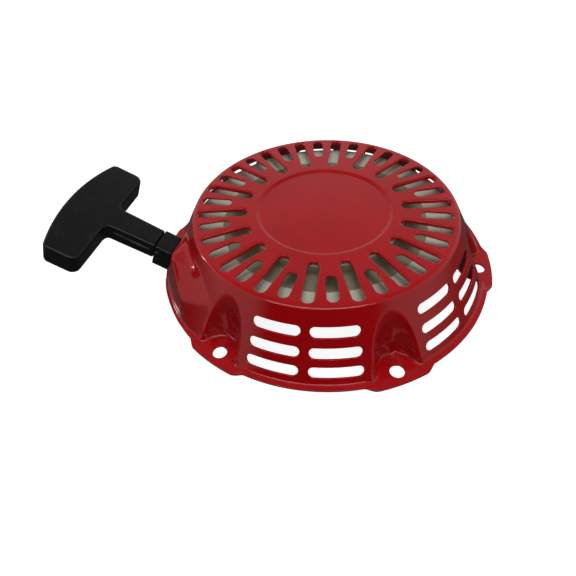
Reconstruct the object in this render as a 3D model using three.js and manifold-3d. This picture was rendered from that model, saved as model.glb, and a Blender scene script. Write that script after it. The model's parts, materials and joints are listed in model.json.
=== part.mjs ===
// Recoil (rewind) starter for a small engine: a louvred steel case, a rope reel with its
// rewind spring, a pawl clutch and a T-handle on a starter rope.
//
// Units are millimetres. The origin lies on the spin axis in the plane of the mounting
// flange's underside, +Z points up through the closed top, and +X runs through one ear.

import * as THREE from 'three';
import { ConvexGeometry } from 'three/addons/geometries/ConvexGeometry.js';
import { mergeVertices } from 'three/addons/utils/BufferGeometryUtils.js';
import Module from 'manifold-3d';

const wasm = await Module();
wasm.setup();

// ---------------------------------------------------------------- driving dimensions

const GAP = 0.3;                 // clearance between pieces that touch on the real starter
const SHEET = 1.2;               // case sheet thickness
const CASE_SIDES = 36;           // facets round the case
const BELOW = -3;                // depth that cutting solids run on to under the flange
const DEG = Math.PI / 180;

const CASE_HEIGHT = 36.5;
const TOP_EDGE_RADIUS = 70.9;    // where the top plane and the wall would meet
const FOOT_RADIUS = 90.6;        // the wall carried down to the flange's underside
const RIM_FILLET = 3;
const RECESS_RADIUS = 35.8;
const RECESS_DEPTH = 1;
const FLANGE_RADIUS = 92.4;
const FLANGE_THICKNESS = 1.3;

const EAR_RADIUS = 94.8;
const EAR_WIDTH = 30;
const EAR_ANGLES = [0, 60, 120, 180, 240, 300];
const BOLT_CIRCLE_RADIUS = 87.5;
const BOLT_HOLE_RADIUS = 3.65;

// the clearance scooped out of the wall round each bolt: round towards the axis, its sides
// flaring out to the rim, and a little wider towards the top
const SCOOP = { centre: 87, radius: 10.2, draft: 0.06, flare: 22, mouth: 103 };

const VENT_COUNT = 18;           // of each length, alternating round the top
const VENT_WIDTH = 5.8;
const SHORT_VENT = { inner: 51.1, outer: 68.1, phase: 0 };
const LONG_VENT = { inner: 41.7, outer: 68.7, phase: 10 };

const WINDOW_ROWS = [7.6, 16.15, 25.4];       // heights of the side window centres
const WINDOW_HEIGHT = 4.8;
const WINDOW_INNER_ANGLE = 1.55;              // window tips, either side of each bay's middle
const WINDOW_OUTER_ANGLE = 19.02;
const WINDOW_BAYS = [30, 90, 150, 270, 330];  // the bay at 210 carries the rope outlet

// the rope outlet: a frame whose X runs along the pull, tilted up from the flange plane
const OUTLET = { x: -79.8, y: -26.9, z: 19, azimuth: 173.5, pitch: 23.8 };
const PULL_OFFSET = 1.2;         // the rope's line above the outlet frame's X axis
const ROPE_RADIUS = 2.25;
const ROPE_BEND = 25;            // radius of the rope's bend into the guide

const GUIDE = { length: 9.3, halfWidth: 7, low: -7, high: 7.8, spigot: 5.3, bore: 3, lip: 6 };

const GRIP = {
  start: GUIDE.length + GAP, barInner: 37, barCorner: 55, barOuter: 61, halfLength: 35.8,
  neckHalfWidth: 6.6, neckRootHalfWidth: 7.3, top: 7.8, neckBottom: -2.9, barBottom: -6.3,
  cornerRadius: 5, rootFillet: 3, bevel: 1.4, boreRadius: 2.8, pocketRadius: 4.8, pocketStart: 44,
};

const REEL = {
  top: 34, discTop: 28.4, discThickness: 2.2,
  rimInner: 55.3, rimRadius: 70, rimTop: 29.4, skirt: 8, skirtWall: 2.2,
  cavityRadius: 40.5, cavityFloor: 26.5, cavityWall: 2.2, boreRadius: 8.3,
  grooveTop: 24.9, grooveBottom: 14.9, grooveRadius: 29.6, lowerRadius: 46, bottom: 13.1,
  hubRadius: 12, hubBottom: 11,
};
const COIL = { inner: REEL.grooveRadius + GAP, outer: 38.1 };
const LEAD_HEIGHT = 17.5;        // height of the rope's turn that runs to the outlet

const POST = { radius: 8, shoulder: 10, bottom: 10.5, screwHole: 3.3, holeDepth: 14 };
const SCREW = {
  headLow: 2.2, headRadius: 5.8, flangeLow: 3.8, flangeHigh: 4.6, flangeRadius: 7.5, shank: 3,
};
const WASHER = { outer: 11, low: 9.1, high: 10.2 };
const FRICTION_SPRING = { radius: 5.2, low: 5.3, high: 6.7, turns: 1.75, wire: 0.35 };
const SPRING = { thickness: 0.8, low: 27, high: 33.5, inner: 10.9, knee: 28, outer: 39.6 };
const SPRING_INNER_TURNS = 1.5;
const SPRING_OUTER_TURNS = 5;

const PAWL = {
  count: 2, pivotRadius: 21, pinRadius: 2.5, boreRadius: 2.9, eyeRadius: 5,
  reach: 15, low: 9.2, high: 12.8, nibReach: 8, nibRadius: 1.3, nibLow: 6.7, swing: 25,
};
const PAWL_REST = -84.2;         // direction of the pawl's arm at rest, from its pivot
const PLATE = { low: 7.4, high: 8.8, radius: 27.5, bore: 3.6, turn: 20, slotClearance: 0.5 };
const KNOT_RADIUS = 4.2;
const KNOT_POCKET = { radius: 4.7, centre: 23.6, depth: 10, azimuth: 90 };
const RETAINER_THICKNESS = 1.2;

// ---------------------------------------------------------------- solids from geometry

function solidOf(geometry, matrix) {
  const bare = geometry.clone();
  for (const name of Object.keys(bare.attributes)) {
    if (name !== 'position') bare.deleteAttribute(name);
  }
  if (matrix) bare.applyMatrix4(matrix);
  const welded = mergeVertices(bare, 1e-4);
  const triVerts = welded.index
    ? Uint32Array.from(welded.index.array)
    : Uint32Array.from({ length: welded.attributes.position.count }, (_, i) => i);
  const vertProperties = Float32Array.from(welded.attributes.position.array);
  return new wasm.Manifold(new wasm.Mesh({ numProp: 3, vertProperties, triVerts }));
}

function geometryOf(solid) {
  const mesh = solid.getMesh();
  const geometry = new THREE.BufferGeometry();
  geometry.setAttribute('position', new THREE.BufferAttribute(mesh.vertProperties, 3));
  geometry.setIndex(new THREE.BufferAttribute(mesh.triVerts, 1));
  return geometry;
}

function joined(solids) {
  return solids.reduce((whole, next) => whole.add(next));
}

// a profile of [radius, height] points turned about Z
function turned(profile, segments = 72) {
  const points = profile.map(([radius, height]) => new THREE.Vector2(radius, height));
  const lathe = new THREE.LatheGeometry(points, segments);
  lathe.rotateX(Math.PI / 2);
  return lathe;
}

// a closed ring or bush with a rectangular section
function ring(inner, outer, low, high, segments = 24) {
  return turned([[inner, low], [outer, low], [outer, high], [inner, high], [inner, low]], segments);
}

// a solid disc or rod along Z
function disc(radius, low, high, segments = 24) {
  return turned([[0, low], [radius, low], [radius, high], [0, high]], segments);
}

// a plane outline raised from low to high
function raised(shape, low, high, curveSegments = 6) {
  const options = { depth: high - low, bevelEnabled: false, curveSegments };
  return new THREE.ExtrudeGeometry(shape, options).translate(0, 0, low);
}

// a stadium lying along X, from x0 to x1 overall
function stadium(x0, x1, width) {
  const end = width / 2;
  const shape = new THREE.Shape();
  shape.absarc(x1 - end, 0, end, -Math.PI / 2, Math.PI / 2, false);
  shape.absarc(x0 + end, 0, end, Math.PI / 2, 1.5 * Math.PI, false);
  shape.closePath();
  return shape;
}

const turn = (degrees) => new THREE.Matrix4().makeRotationZ(degrees * DEG);
const shift = (x, y, z) => new THREE.Matrix4().makeTranslation(x, y, z);

function polar(radius, degrees, z) {
  return new THREE.Vector3(radius * Math.cos(degrees * DEG), radius * Math.sin(degrees * DEG), z);
}

// the outlet frame, as an object for placing pieces and as a matrix for cutting
function placedAtOutlet(object) {
  object.position.set(OUTLET.x, OUTLET.y, OUTLET.z);
  object.rotation.set(0, -OUTLET.pitch * DEG, OUTLET.azimuth * DEG, 'ZYX');
  object.updateMatrix();
  return object;
}
const outletMatrix = placedAtOutlet(new THREE.Object3D()).matrix;
const atOutlet = (u, v, w) => new THREE.Vector3(u, v, w).applyMatrix4(outletMatrix);

// a rod, disc or ring turned about Z, laid along the outlet frame's X on the rope's line
const alongPull = new THREE.Matrix4()
  .makeTranslation(0, 0, PULL_OFFSET)
  .multiply(new THREE.Matrix4().makeRotationY(Math.PI / 2));

// ---------------------------------------------------------------- case

const wallRadius = (height) =>
  FOOT_RADIUS - (FOOT_RADIUS - TOP_EDGE_RADIUS) * height / CASE_HEIGHT;
const wallLean = Math.atan2(CASE_HEIGHT, FOOT_RADIUS - TOP_EDGE_RADIUS);

// half section of the drafted drum, drawn inwards by an inset for its inner skin
function drumProfile(inset, foot) {
  const top = CASE_HEIGHT - inset;
  const sideInset = inset / Math.sin(wallLean);
  const edge = wallRadius(top) - sideInset;
  const fillet = RIM_FILLET - inset;
  const flat = edge - fillet * Math.tan(wallLean / 2);
  const arc = [];
  for (let step = 0; step <= 2; step += 1) {
    const angle = wallLean * (1 - step / 2);
    arc.push([flat + fillet * Math.sin(angle), top - fillet * (1 - Math.cos(angle))]);
  }
  return [
    [0, foot], [wallRadius(foot) - sideInset, foot], ...arc,
    [RECESS_RADIUS + 1, top], [RECESS_RADIUS, top - RECESS_DEPTH], [0, top - RECESS_DEPTH],
  ];
}

// the stamped boss that carries the rope out of the wall, as a convex block that runs on
// below the flange plane
function outletBoss() {
  const face = -GAP;
  return solidOf(new ConvexGeometry([
    atOutlet(face, 8.6, 9.4), atOutlet(face, -8.8, 9.4), atOutlet(face, -8.8, -9),
    atOutlet(face, 8.6, -4),
    polar(wallRadius(28), 219, 28), polar(88.2, 219.5, 16.5), polar(wallRadius(20.5), 230.5, 20.5),
    polar(89, 190, BELOW), polar(91.2, 197, BELOW), polar(91.4, 204, BELOW),
    polar(91.4, 212, BELOW), polar(91.2, 220, BELOW), polar(90.4, 228, BELOW),
    polar(84, 235, BELOW), polar(60, 190, BELOW), polar(60, 230, BELOW),
    polar(60, 190, 32), polar(60, 220, 30),
  ]));
}

// a convex solid drawn in by a distance all round
function drawnIn(solid, distance) {
  let core = solid;
  for (const x of [-1, 0, 1]) {
    for (const y of [-1, 0, 1]) {
      for (const z of [-1, 0, 1]) {
        const length = Math.hypot(x, y, z);
        if (length === 0) continue;
        const by = distance / length;
        core = core.intersect(solid.translate([x * by, y * by, z * by]));
      }
    }
  }
  return core;
}

// the convex block that clears one bolt, grown all round by a distance
function scoopBlock(grow, low, high) {
  const { centre, radius, draft, flare, mouth } = SCOOP;
  const arcSteps = 8;
  const points = [];
  for (const z of [low, high]) {
    const size = radius + draft * z + grow;
    const half = size / Math.cos(flare * DEG) + (mouth - centre) * Math.tan(flare * DEG);
    points.push(new THREE.Vector3(mouth, -half, z), new THREE.Vector3(mouth, half, z));
    for (let step = 0; step <= arcSteps; step += 1) {
      const angle = 90 + flare + (180 - 2 * flare) * step / arcSteps;
      points.push(polar(size, angle, z).add(new THREE.Vector3(centre, 0, 0)));
    }
  }
  return new ConvexGeometry(points);
}

// one geometry repeated at every ear
function atEars(geometry) {
  return joined(EAR_ANGLES.map((angle) => solidOf(geometry, turn(angle))));
}

function scoops(grow, low) {
  return atEars(scoopBlock(grow, low, CASE_HEIGHT + 5));
}

function flangePlate() {
  const flangeSides = 2 * CASE_SIDES;
  const strip = new THREE.BoxGeometry(40, EAR_WIDTH, FLANGE_THICKNESS);
  strip.translate(EAR_RADIUS - 10, 0, FLANGE_THICKNESS / 2);
  const earDisc = solidOf(disc(EAR_RADIUS, 0, FLANGE_THICKNESS, flangeSides));
  return solidOf(disc(FLANGE_RADIUS, 0, FLANGE_THICKNESS, flangeSides))
    .add(earDisc.intersect(atEars(strip)));
}

function vents() {
  const cuts = [];
  for (const vent of [SHORT_VENT, LONG_VENT]) {
    const outline = stadium(vent.inner, vent.outer, VENT_WIDTH);
    const slot = raised(outline, REEL.top, CASE_HEIGHT + 1, 3);
    for (let index = 0; index < VENT_COUNT; index += 1) {
      cuts.push(solidOf(slot, turn(vent.phase + index * 360 / VENT_COUNT)));
    }
  }
  return joined(cuts);
}

function windows() {
  const middle = (WINDOW_INNER_ANGLE + WINDOW_OUTER_ANGLE) / 2;
  const spread = (WINDOW_OUTER_ANGLE - WINDOW_INNER_ANGLE) / 2;
  const cuts = [];
  for (const height of WINDOW_ROWS) {
    const half = wallRadius(height) * Math.sin(spread * DEG);
    const slot = raised(stadium(-half, half, WINDOW_HEIGHT), 0, 30, 3);
    // stand the slot upright, facing out along X
    slot.applyMatrix4(new THREE.Matrix4().makeBasis(
      new THREE.Vector3(0, 1, 0), new THREE.Vector3(0, 0, 1), new THREE.Vector3(1, 0, 0)));
    slot.translate(wallRadius(height) - 15, 0, height);
    for (const bay of WINDOW_BAYS) {
      cuts.push(solidOf(slot, turn(bay - middle)), solidOf(slot, turn(bay + middle)));
    }
  }
  return joined(cuts);
}

function boltHoles() {
  const hole = disc(BOLT_HOLE_RADIUS, -1, FLANGE_THICKNESS + 1, 12);
  return atEars(hole.translate(BOLT_CIRCLE_RADIUS, 0, 0));
}

function caseSolid() {
  const boss = outletBoss();
  const above = solidOf(disc(FLANGE_RADIUS, 0, CASE_HEIGHT, 24));
  const outer = solidOf(turned(drumProfile(0, 0), CASE_SIDES)).add(boss.intersect(above));
  const cavity = solidOf(turned(drumProfile(SHEET, BELOW), CASE_SIDES))
    .add(drawnIn(boss, SHEET))
    .subtract(scoops(SHEET, BELOW - 1));
  const ropeHole = disc(GUIDE.spigot + GAP, -9, 5).applyMatrix4(alongPull);
  return outer
    .subtract(scoops(0, FLANGE_THICKNESS))
    .add(flangePlate())
    .subtract(cavity)
    .subtract(vents())
    .subtract(windows())
    .subtract(boltHoles())
    .subtract(solidOf(ropeHole, outletMatrix));
}

// ---------------------------------------------------------------- centre post and fixings

function postSolid() {
  const ledge = REEL.cavityFloor + GAP + 0.1;
  const top = CASE_HEIGHT - SHEET - RECESS_DEPTH - GAP;
  const { bottom, radius, shoulder, screwHole, holeDepth } = POST;
  return solidOf(turned([
    [screwHole, bottom], [radius, bottom], [radius, ledge], [shoulder, ledge], [shoulder, top],
    [0, top], [0, bottom + holeDepth], [screwHole, bottom + holeDepth], [screwHole, bottom],
  ], 24));
}

// a hexagon-headed screw with a flange, standing up into the post
function screwSolid() {
  const { headLow, headRadius, flangeLow, flangeHigh, flangeRadius, shank } = SCREW;
  const head = disc(headRadius, headLow, flangeLow + 0.1, 6);
  const rod = disc(shank, flangeHigh - 0.1, POST.bottom + POST.holeDepth - 2, 20);
  const flange = disc(flangeRadius, flangeLow, flangeHigh);
  return joined([solidOf(flange), solidOf(head), solidOf(rod)]);
}

// a wire of round section swept along a curve
function wire(curve, radius, steps, sides = 8) {
  const section = new THREE.Shape();
  section.absarc(0, 0, radius, 0, 2 * Math.PI, false);
  const options = { extrudePath: curve, steps, bevelEnabled: false, curveSegments: sides };
  return new THREE.ExtrudeGeometry(section, options);
}

class Helix extends THREE.Curve {
  constructor(radius, low, high, turns) {
    super();
    Object.assign(this, { radius, low, high, turns });
  }

  getPoint(t, target = new THREE.Vector3()) {
    const angle = 2 * Math.PI * this.turns * t;
    const height = this.low + (this.high - this.low) * t;
    return target.set(this.radius * Math.cos(angle), this.radius * Math.sin(angle), height);
  }
}

function frictionSpringSolid() {
  const { radius, low, high, turns, wire: wireRadius } = FRICTION_SPRING;
  return solidOf(wire(new Helix(radius, low, high, turns), wireRadius, 28, 3));
}

// ---------------------------------------------------------------- reel, rope and spring

function reelSolid() {
  const r = REEL;
  const discLow = r.discTop - r.discThickness;
  const skirtLow = r.rimTop - r.skirt;
  const cavityOuter = r.cavityRadius + r.cavityWall;
  const skirtInner = r.rimRadius - r.skirtWall;
  let reel = solidOf(turned([
    [r.boreRadius, r.hubBottom], [r.hubRadius, r.hubBottom], [r.hubRadius, r.bottom],
    [r.lowerRadius, r.bottom],
    [r.lowerRadius, r.grooveBottom], [r.grooveRadius, r.grooveBottom],
    [r.grooveRadius, r.grooveTop], [cavityOuter, r.grooveTop], [cavityOuter, discLow],
    [skirtInner, discLow], [skirtInner, skirtLow], [r.rimRadius, skirtLow],
    [r.rimRadius, r.rimTop], [r.rimInner, r.rimTop], [r.rimInner, r.discTop],
    [cavityOuter, r.discTop], [cavityOuter, r.top], [r.cavityRadius, r.top],
    [r.cavityRadius, r.cavityFloor], [r.boreRadius, r.cavityFloor], [r.boreRadius, r.hubBottom],
  ], 36));
  for (let index = 0; index < PAWL.count; index += 1) {
    const place = turn(index * 360 / PAWL.count).multiply(shift(PAWL.pivotRadius, 0, 0));
    const springSeat = disc(PAWL.eyeRadius, r.bottom - 1, r.bottom + 2.6, 28);
    const legSeat = new THREE.BoxGeometry(3, 10, 3.6).translate(3.5, -6, r.bottom + 0.8);
    reel = reel
      .subtract(solidOf(springSeat, place).add(solidOf(legSeat, place)))
      .add(solidOf(disc(PAWL.pinRadius, PAWL.low + 0.2, r.bottom + 3, 20), place));
  }
  const { radius, centre, depth, azimuth } = KNOT_POCKET;
  const knotSeat = disc(radius, r.bottom - 1, r.bottom + depth - 1, 24);
  const ropeWay = disc(ROPE_RADIUS + GAP, centre, r.grooveRadius + 2, 16);
  ropeWay.applyMatrix4(new THREE.Matrix4().makeRotationY(Math.PI / 2));
  ropeWay.translate(0, 0, LEAD_HEIGHT);
  return reel
    .subtract(solidOf(knotSeat, turn(azimuth).multiply(shift(centre, 0, 0))))
    .subtract(solidOf(ropeWay, turn(azimuth)));
}

// the rope wound on the reel, as the outer shape of its turns
function coilSolid() {
  return solidOf(ring(COIL.inner, COIL.outer, REEL.grooveBottom + GAP, REEL.grooveTop - GAP, 36));
}

// a knot in the rope's end: a ball with a stub of rope leading along +X
function knotSolid(radius, stub) {
  const ball = new THREE.SphereGeometry(radius, 12, 8);
  const rope = disc(ROPE_RADIUS - 0.1, 0, stub, 12);
  rope.applyMatrix4(new THREE.Matrix4().makeRotationY(Math.PI / 2));
  return solidOf(ball).add(solidOf(rope));
}

// the rewind spring: a flat strip that leaves the post in open turns and lies close-wound
// against the outer wall of its cavity
function springShape() {
  const { thickness, inner, knee, outer } = SPRING;
  const turns = SPRING_INNER_TURNS + SPRING_OUTER_TURNS;
  const stepsPerTurn = 14;
  const steps = turns * stepsPerTurn;
  const side = (offset) => {
    const points = [];
    for (let step = 0; step <= steps; step += 1) {
      const wound = step / stepsPerTurn;
      const middle = wound < SPRING_INNER_TURNS
        ? inner + (knee - inner) * wound / SPRING_INNER_TURNS
        : knee + (outer - knee) * (wound - SPRING_INNER_TURNS) / SPRING_OUTER_TURNS;
      const radius = middle + offset;
      const angle = 2 * Math.PI * wound;
      points.push(new THREE.Vector2(radius * Math.cos(angle), radius * Math.sin(angle)));
    }
    return points;
  };
  return new THREE.Shape([...side(-thickness / 2), ...side(thickness / 2).reverse()]);
}

// the rope from the reel, level to the outlet, then bent up through the guide to the grip
class LeadPath extends THREE.Curve {
  constructor() {
    super();
    const end = atOutlet(GRIP.start - 0.1, 0, PULL_OFFSET);
    const along = atOutlet(1, 0, 0).sub(atOutlet(0, 0, 0));
    const level = new THREE.Vector3(along.x, along.y, 0).normalize();
    const corner = end.clone().addScaledVector(along, (LEAD_HEIGHT - end.z) / along.z);
    const cut = ROPE_BEND * Math.tan(OUTLET.pitch * DEG / 2);
    this.arcStart = corner.clone().addScaledVector(level, -cut);
    this.start = this.arcStart.clone().addScaledVector(level, -this.arcStart.dot(level));
    this.level = level;
    this.straight = this.arcStart.distanceTo(this.start);
    this.arc = ROPE_BEND * OUTLET.pitch * DEG;
    this.arcEnd = corner.clone().addScaledVector(along, cut);
    this.along = along;
    this.tail = this.arcEnd.distanceTo(end);
  }

  getPoint(t, target = new THREE.Vector3()) {
    const travelled = t * (this.straight + this.arc + this.tail);
    if (travelled < this.straight) {
      return target.copy(this.start).addScaledVector(this.level, travelled);
    }
    if (travelled > this.straight + this.arc) {
      const beyond = travelled - this.straight - this.arc;
      return target.copy(this.arcEnd).addScaledVector(this.along, beyond);
    }
    const angle = (travelled - this.straight) / ROPE_BEND;
    target.copy(this.arcStart).addScaledVector(this.level, ROPE_BEND * Math.sin(angle));
    target.z += ROPE_BEND * (1 - Math.cos(angle));
    return target;
  }
}

function leadSolid() {
  return solidOf(wire(new LeadPath(), ROPE_RADIUS, 22, 4))
    .subtract(solidOf(disc(COIL.outer + GAP, REEL.bottom, REEL.top, 72)));
}

// ---------------------------------------------------------------- pawls and guide plate

const nibAt = (swing) => {
  const angle = (PAWL_REST + swing) * DEG;
  const { pivotRadius, nibReach } = PAWL;
  return new THREE.Vector2(pivotRadius + nibReach * Math.cos(angle), nibReach * Math.sin(angle));
};

// a pawl about its own pivot: an eye, and an arm that tapers to a square driving tip
function pawlSolid() {
  const { eyeRadius, reach, low, high, nibReach, nibRadius, nibLow, boreRadius } = PAWL;
  const arm = new THREE.Shape();
  arm.moveTo(0, -3.4);
  arm.lineTo(reach - 1.5, -2.4);
  arm.lineTo(reach, -1.6);
  arm.lineTo(reach, 1.8);
  arm.lineTo(reach - 3, 2.6);
  arm.lineTo(0, eyeRadius - 0.6);
  arm.closePath();
  const nib = disc(nibRadius, nibLow, low + 0.2, 16).translate(nibReach, 0, 0);
  const rest = turn(PAWL_REST);
  return solidOf(disc(eyeRadius - 0.5, low, high, 28))
    .add(solidOf(raised(arm, low, high), rest))
    .add(solidOf(nib, rest))
    .subtract(solidOf(disc(boreRadius, low - 1, high + 1)));
}

// the return spring of one pawl: a coil round the pin with a leg in the reel's slot
function pawlSpringSolid() {
  const low = REEL.bottom + 0.4;
  const coil = ring(PAWL.pinRadius + GAP, PAWL.eyeRadius - 0.8, low, low + 1.6, 28);
  const leg = new THREE.BoxGeometry(0.8, 8.4, 0.8).translate(3.4, -5.4, low + 0.8);
  return solidOf(coil).add(solidOf(leg));
}

// the friction-held plate whose curved slots push the pawls out
function plateSolid() {
  const { low, high, radius, bore, turn: fullTurn, slotClearance } = PLATE;
  let plate = solidOf(ring(bore, radius, low, high, 36));
  const steps = 6;
  const cutter = disc(PAWL.nibRadius + slotClearance, low - 1, high + 1, 12);
  for (let index = 0; index < PAWL.count; index += 1) {
    const cuts = [];
    for (let step = -1; step <= steps + 1; step += 1) {
      const share = step / steps;
      const nib = nibAt(share * PAWL.swing);
      const place = turn(index * 360 / PAWL.count - share * fullTurn);
      cuts.push(solidOf(cutter, place.multiply(shift(nib.x, nib.y, 0))));
    }
    plate = plate.subtract(joined(cuts));
  }
  return plate;
}

// ---------------------------------------------------------------- rope guide and handle

function guideSolid() {
  const { length, halfWidth, low, high, spigot, bore, lip } = GUIDE;
  const collar = new THREE.Shape();
  const corner = 1.6;
  collar.moveTo(-halfWidth + corner, low);
  collar.lineTo(halfWidth - corner, low);
  collar.lineTo(halfWidth, low + corner);
  collar.lineTo(halfWidth, high - corner);
  collar.lineTo(halfWidth - corner, high);
  collar.lineTo(-halfWidth + corner, high);
  collar.lineTo(-halfWidth, high - corner);
  collar.lineTo(-halfWidth, low + corner);
  collar.closePath();
  const upright = new THREE.Matrix4().makeBasis(
    new THREE.Vector3(0, 1, 0), new THREE.Vector3(0, 0, 1), new THREE.Vector3(1, 0, 0));
  const lipHigh = -SHEET - 2 * GAP;
  return joined([
    solidOf(raised(collar, 0, length), upright),
    solidOf(disc(spigot, lipHigh - 0.2, 0.2, 24), alongPull),
    solidOf(disc(lip, lipHigh - 1.5, lipHigh, 24), alongPull),
  ]).subtract(solidOf(disc(bore, -10, length + 1, 20), alongPull));
}

// the T-handle, drawn in the outlet frame: a bar with a bowed outer edge on a short neck
function gripSolid() {
  const g = GRIP;
  const bar = new THREE.Shape();
  const c = g.cornerRadius;
  const end = g.halfLength;
  bar.moveTo(g.barInner, -end + c);
  bar.quadraticCurveTo(g.barInner, -end, g.barInner + c, -end);
  bar.lineTo(g.barCorner - c, -end);
  bar.quadraticCurveTo(g.barCorner, -end, g.barCorner + 0.8, -end + c);
  bar.quadraticCurveTo(2 * g.barOuter - g.barCorner - 0.8, 0, g.barCorner + 0.8, end - c);
  bar.quadraticCurveTo(g.barCorner, end, g.barCorner - c, end);
  bar.lineTo(g.barInner + c, end);
  bar.quadraticCurveTo(g.barInner, end, g.barInner, end - c);
  bar.closePath();

  const neck = new THREE.Shape();
  const root = g.neckRootHalfWidth;
  const fillet = g.rootFillet;
  neck.moveTo(g.start, -g.neckHalfWidth);
  neck.lineTo(g.barInner - fillet, -root);
  neck.quadraticCurveTo(g.barInner, -root, g.barInner, -root - fillet);
  neck.lineTo(g.barInner + 6, -root - fillet);
  neck.lineTo(g.barInner + 6, root + fillet);
  neck.lineTo(g.barInner, root + fillet);
  neck.quadraticCurveTo(g.barInner, root, g.barInner - fillet, root);
  neck.lineTo(g.start, g.neckHalfWidth);
  neck.closePath();

  const bevelled = (shape, low) => {
    const b = g.bevel;
    const options = {
      depth: g.top - low - 2 * b, bevelEnabled: true, bevelThickness: b, bevelSize: b,
      bevelOffset: -b, bevelSegments: 2, curveSegments: 6,
    };
    return solidOf(new THREE.ExtrudeGeometry(shape, options).translate(0, 0, low + b));
  };
  return bevelled(bar, g.barBottom)
    .add(solidOf(raised(neck, g.neckBottom, g.top)))
    .subtract(solidOf(disc(g.boreRadius, 0, g.pocketStart + 1, 20), alongPull))
    .subtract(solidOf(disc(g.pocketRadius, g.pocketStart, g.barOuter + 2, 24), alongPull));
}

// ---------------------------------------------------------------- materials and assembly

const finish = (color, roughness, metalness = 0) => ({ color, roughness, metalness });
const RED_PAINT = finish(0x9c1015, 0.25, 0.1);
const BLACK_PLASTIC = finish(0x1a1a1c, 0.5);
const NYLON = finish(0xa8a384, 0.55);
const ROPE = finish(0xd8d5cb, 0.9);
const ZINC = finish(0xb4b6b8, 0.35, 0.9);
const SPRING_STEEL = finish(0x5a5d62, 0.3, 1);

function piece(name, solid, look) {
  const mesh = new THREE.Mesh(geometryOf(solid), new THREE.MeshStandardMaterial(look));
  mesh.name = name;
  return mesh;
}

const housing = new THREE.Group();
housing.add(
  piece('case', caseSolid(), RED_PAINT),
  piece('centre_post', postSolid(), ZINC),
  piece('thrust_washer', solidOf(ring(PLATE.bore, WASHER.outer, WASHER.low, WASHER.high)), ZINC),
  piece('centre_screw', screwSolid(), ZINC),
  piece('friction_spring', frictionSpringSolid(), SPRING_STEEL),
  piece('guide_plate', plateSolid(), ZINC),
  piece('rope_lead', leadSolid(), ROPE),
);

const reelUnit = new THREE.Group();
reelUnit.add(
  piece('reel', reelSolid(), NYLON),
  piece('mainspring', solidOf(raised(springShape(), SPRING.low, SPRING.high)), SPRING_STEEL),
  piece('rope_coil', coilSolid(), ROPE),
);

const knotStub = REEL.grooveRadius - KNOT_POCKET.centre - 0.2;
const reelKnot = piece('reel_knot', knotSolid(KNOT_RADIUS, knotStub), ROPE);
reelKnot.position.copy(polar(KNOT_POCKET.centre, KNOT_POCKET.azimuth, LEAD_HEIGHT));
reelKnot.rotation.z = KNOT_POCKET.azimuth * DEG;
reelUnit.add(reelKnot);

for (let index = 0; index < PAWL.count; index += 1) {
  const azimuth = index * 360 / PAWL.count;
  const clutch = new THREE.Group();
  clutch.rotation.z = azimuth * DEG;
  clutch.position.copy(polar(PAWL.pivotRadius, azimuth, 0));
  clutch.add(
    piece(`pawl_${index + 1}`, pawlSolid(), ZINC),
    piece(`pawl_spring_${index + 1}`, pawlSpringSolid(), SPRING_STEEL),
  );
  reelUnit.add(clutch);
}

const outlet = placedAtOutlet(new THREE.Group());
const tailStart = GRIP.start + 0.2;
const retainerLow = GRIP.pocketStart + GAP;
const retainerHigh = retainerLow + RETAINER_THICKNESS;
const knotCentre = retainerHigh + GAP + KNOT_RADIUS;
const tail = disc(ROPE_RADIUS, tailStart, retainerHigh, 12);
const retainer = ring(ROPE_RADIUS + GAP, GRIP.pocketRadius - 0.4, retainerLow, retainerHigh, 28);
const gripKnot = piece('grip_knot', solidOf(new THREE.SphereGeometry(KNOT_RADIUS, 12, 8)), ROPE);
gripKnot.position.set(knotCentre, 0, PULL_OFFSET);
outlet.add(
  piece('rope_guide', guideSolid(), BLACK_PLASTIC),
  piece('grip', gripSolid(), BLACK_PLASTIC),
  piece('rope_tail', solidOf(tail, alongPull), ROPE),
  piece('rope_retainer', solidOf(retainer, alongPull), ZINC),
  gripKnot,
);

const starter = new THREE.Group();
starter.add(housing, reelUnit, outlet);

export default starter;
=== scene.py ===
"""Looks of the recoil starter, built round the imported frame.

Lengths are in millimetres until a mesh is made."""

import json
import math
from types import SimpleNamespace

import bmesh
import bpy
import numpy as np
from mathutils import Matrix, Vector


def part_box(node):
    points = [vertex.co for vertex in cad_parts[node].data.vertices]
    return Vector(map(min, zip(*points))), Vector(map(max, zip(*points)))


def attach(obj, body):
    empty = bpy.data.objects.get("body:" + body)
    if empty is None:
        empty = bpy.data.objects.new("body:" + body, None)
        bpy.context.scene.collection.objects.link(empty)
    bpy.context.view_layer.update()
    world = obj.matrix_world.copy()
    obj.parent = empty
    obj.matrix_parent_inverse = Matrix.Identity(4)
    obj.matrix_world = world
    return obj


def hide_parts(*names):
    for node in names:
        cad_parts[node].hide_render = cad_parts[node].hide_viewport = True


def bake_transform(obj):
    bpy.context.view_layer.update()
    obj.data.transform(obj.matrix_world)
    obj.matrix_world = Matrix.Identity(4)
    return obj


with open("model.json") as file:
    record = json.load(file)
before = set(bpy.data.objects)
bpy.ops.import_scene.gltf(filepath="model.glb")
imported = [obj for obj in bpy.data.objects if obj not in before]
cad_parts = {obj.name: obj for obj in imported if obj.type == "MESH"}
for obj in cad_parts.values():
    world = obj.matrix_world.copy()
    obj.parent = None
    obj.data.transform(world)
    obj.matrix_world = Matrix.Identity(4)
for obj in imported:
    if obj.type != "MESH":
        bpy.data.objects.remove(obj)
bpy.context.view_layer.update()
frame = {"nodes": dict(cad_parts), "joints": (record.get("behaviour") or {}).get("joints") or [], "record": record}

MM = 0.001


def cad_mm(node):
    """Lowest and highest corner of a CAD node, in millimetres."""
    low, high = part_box(node)
    return low / MM, high / MM


# ---------------------------------------------------------------- sizes

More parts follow.
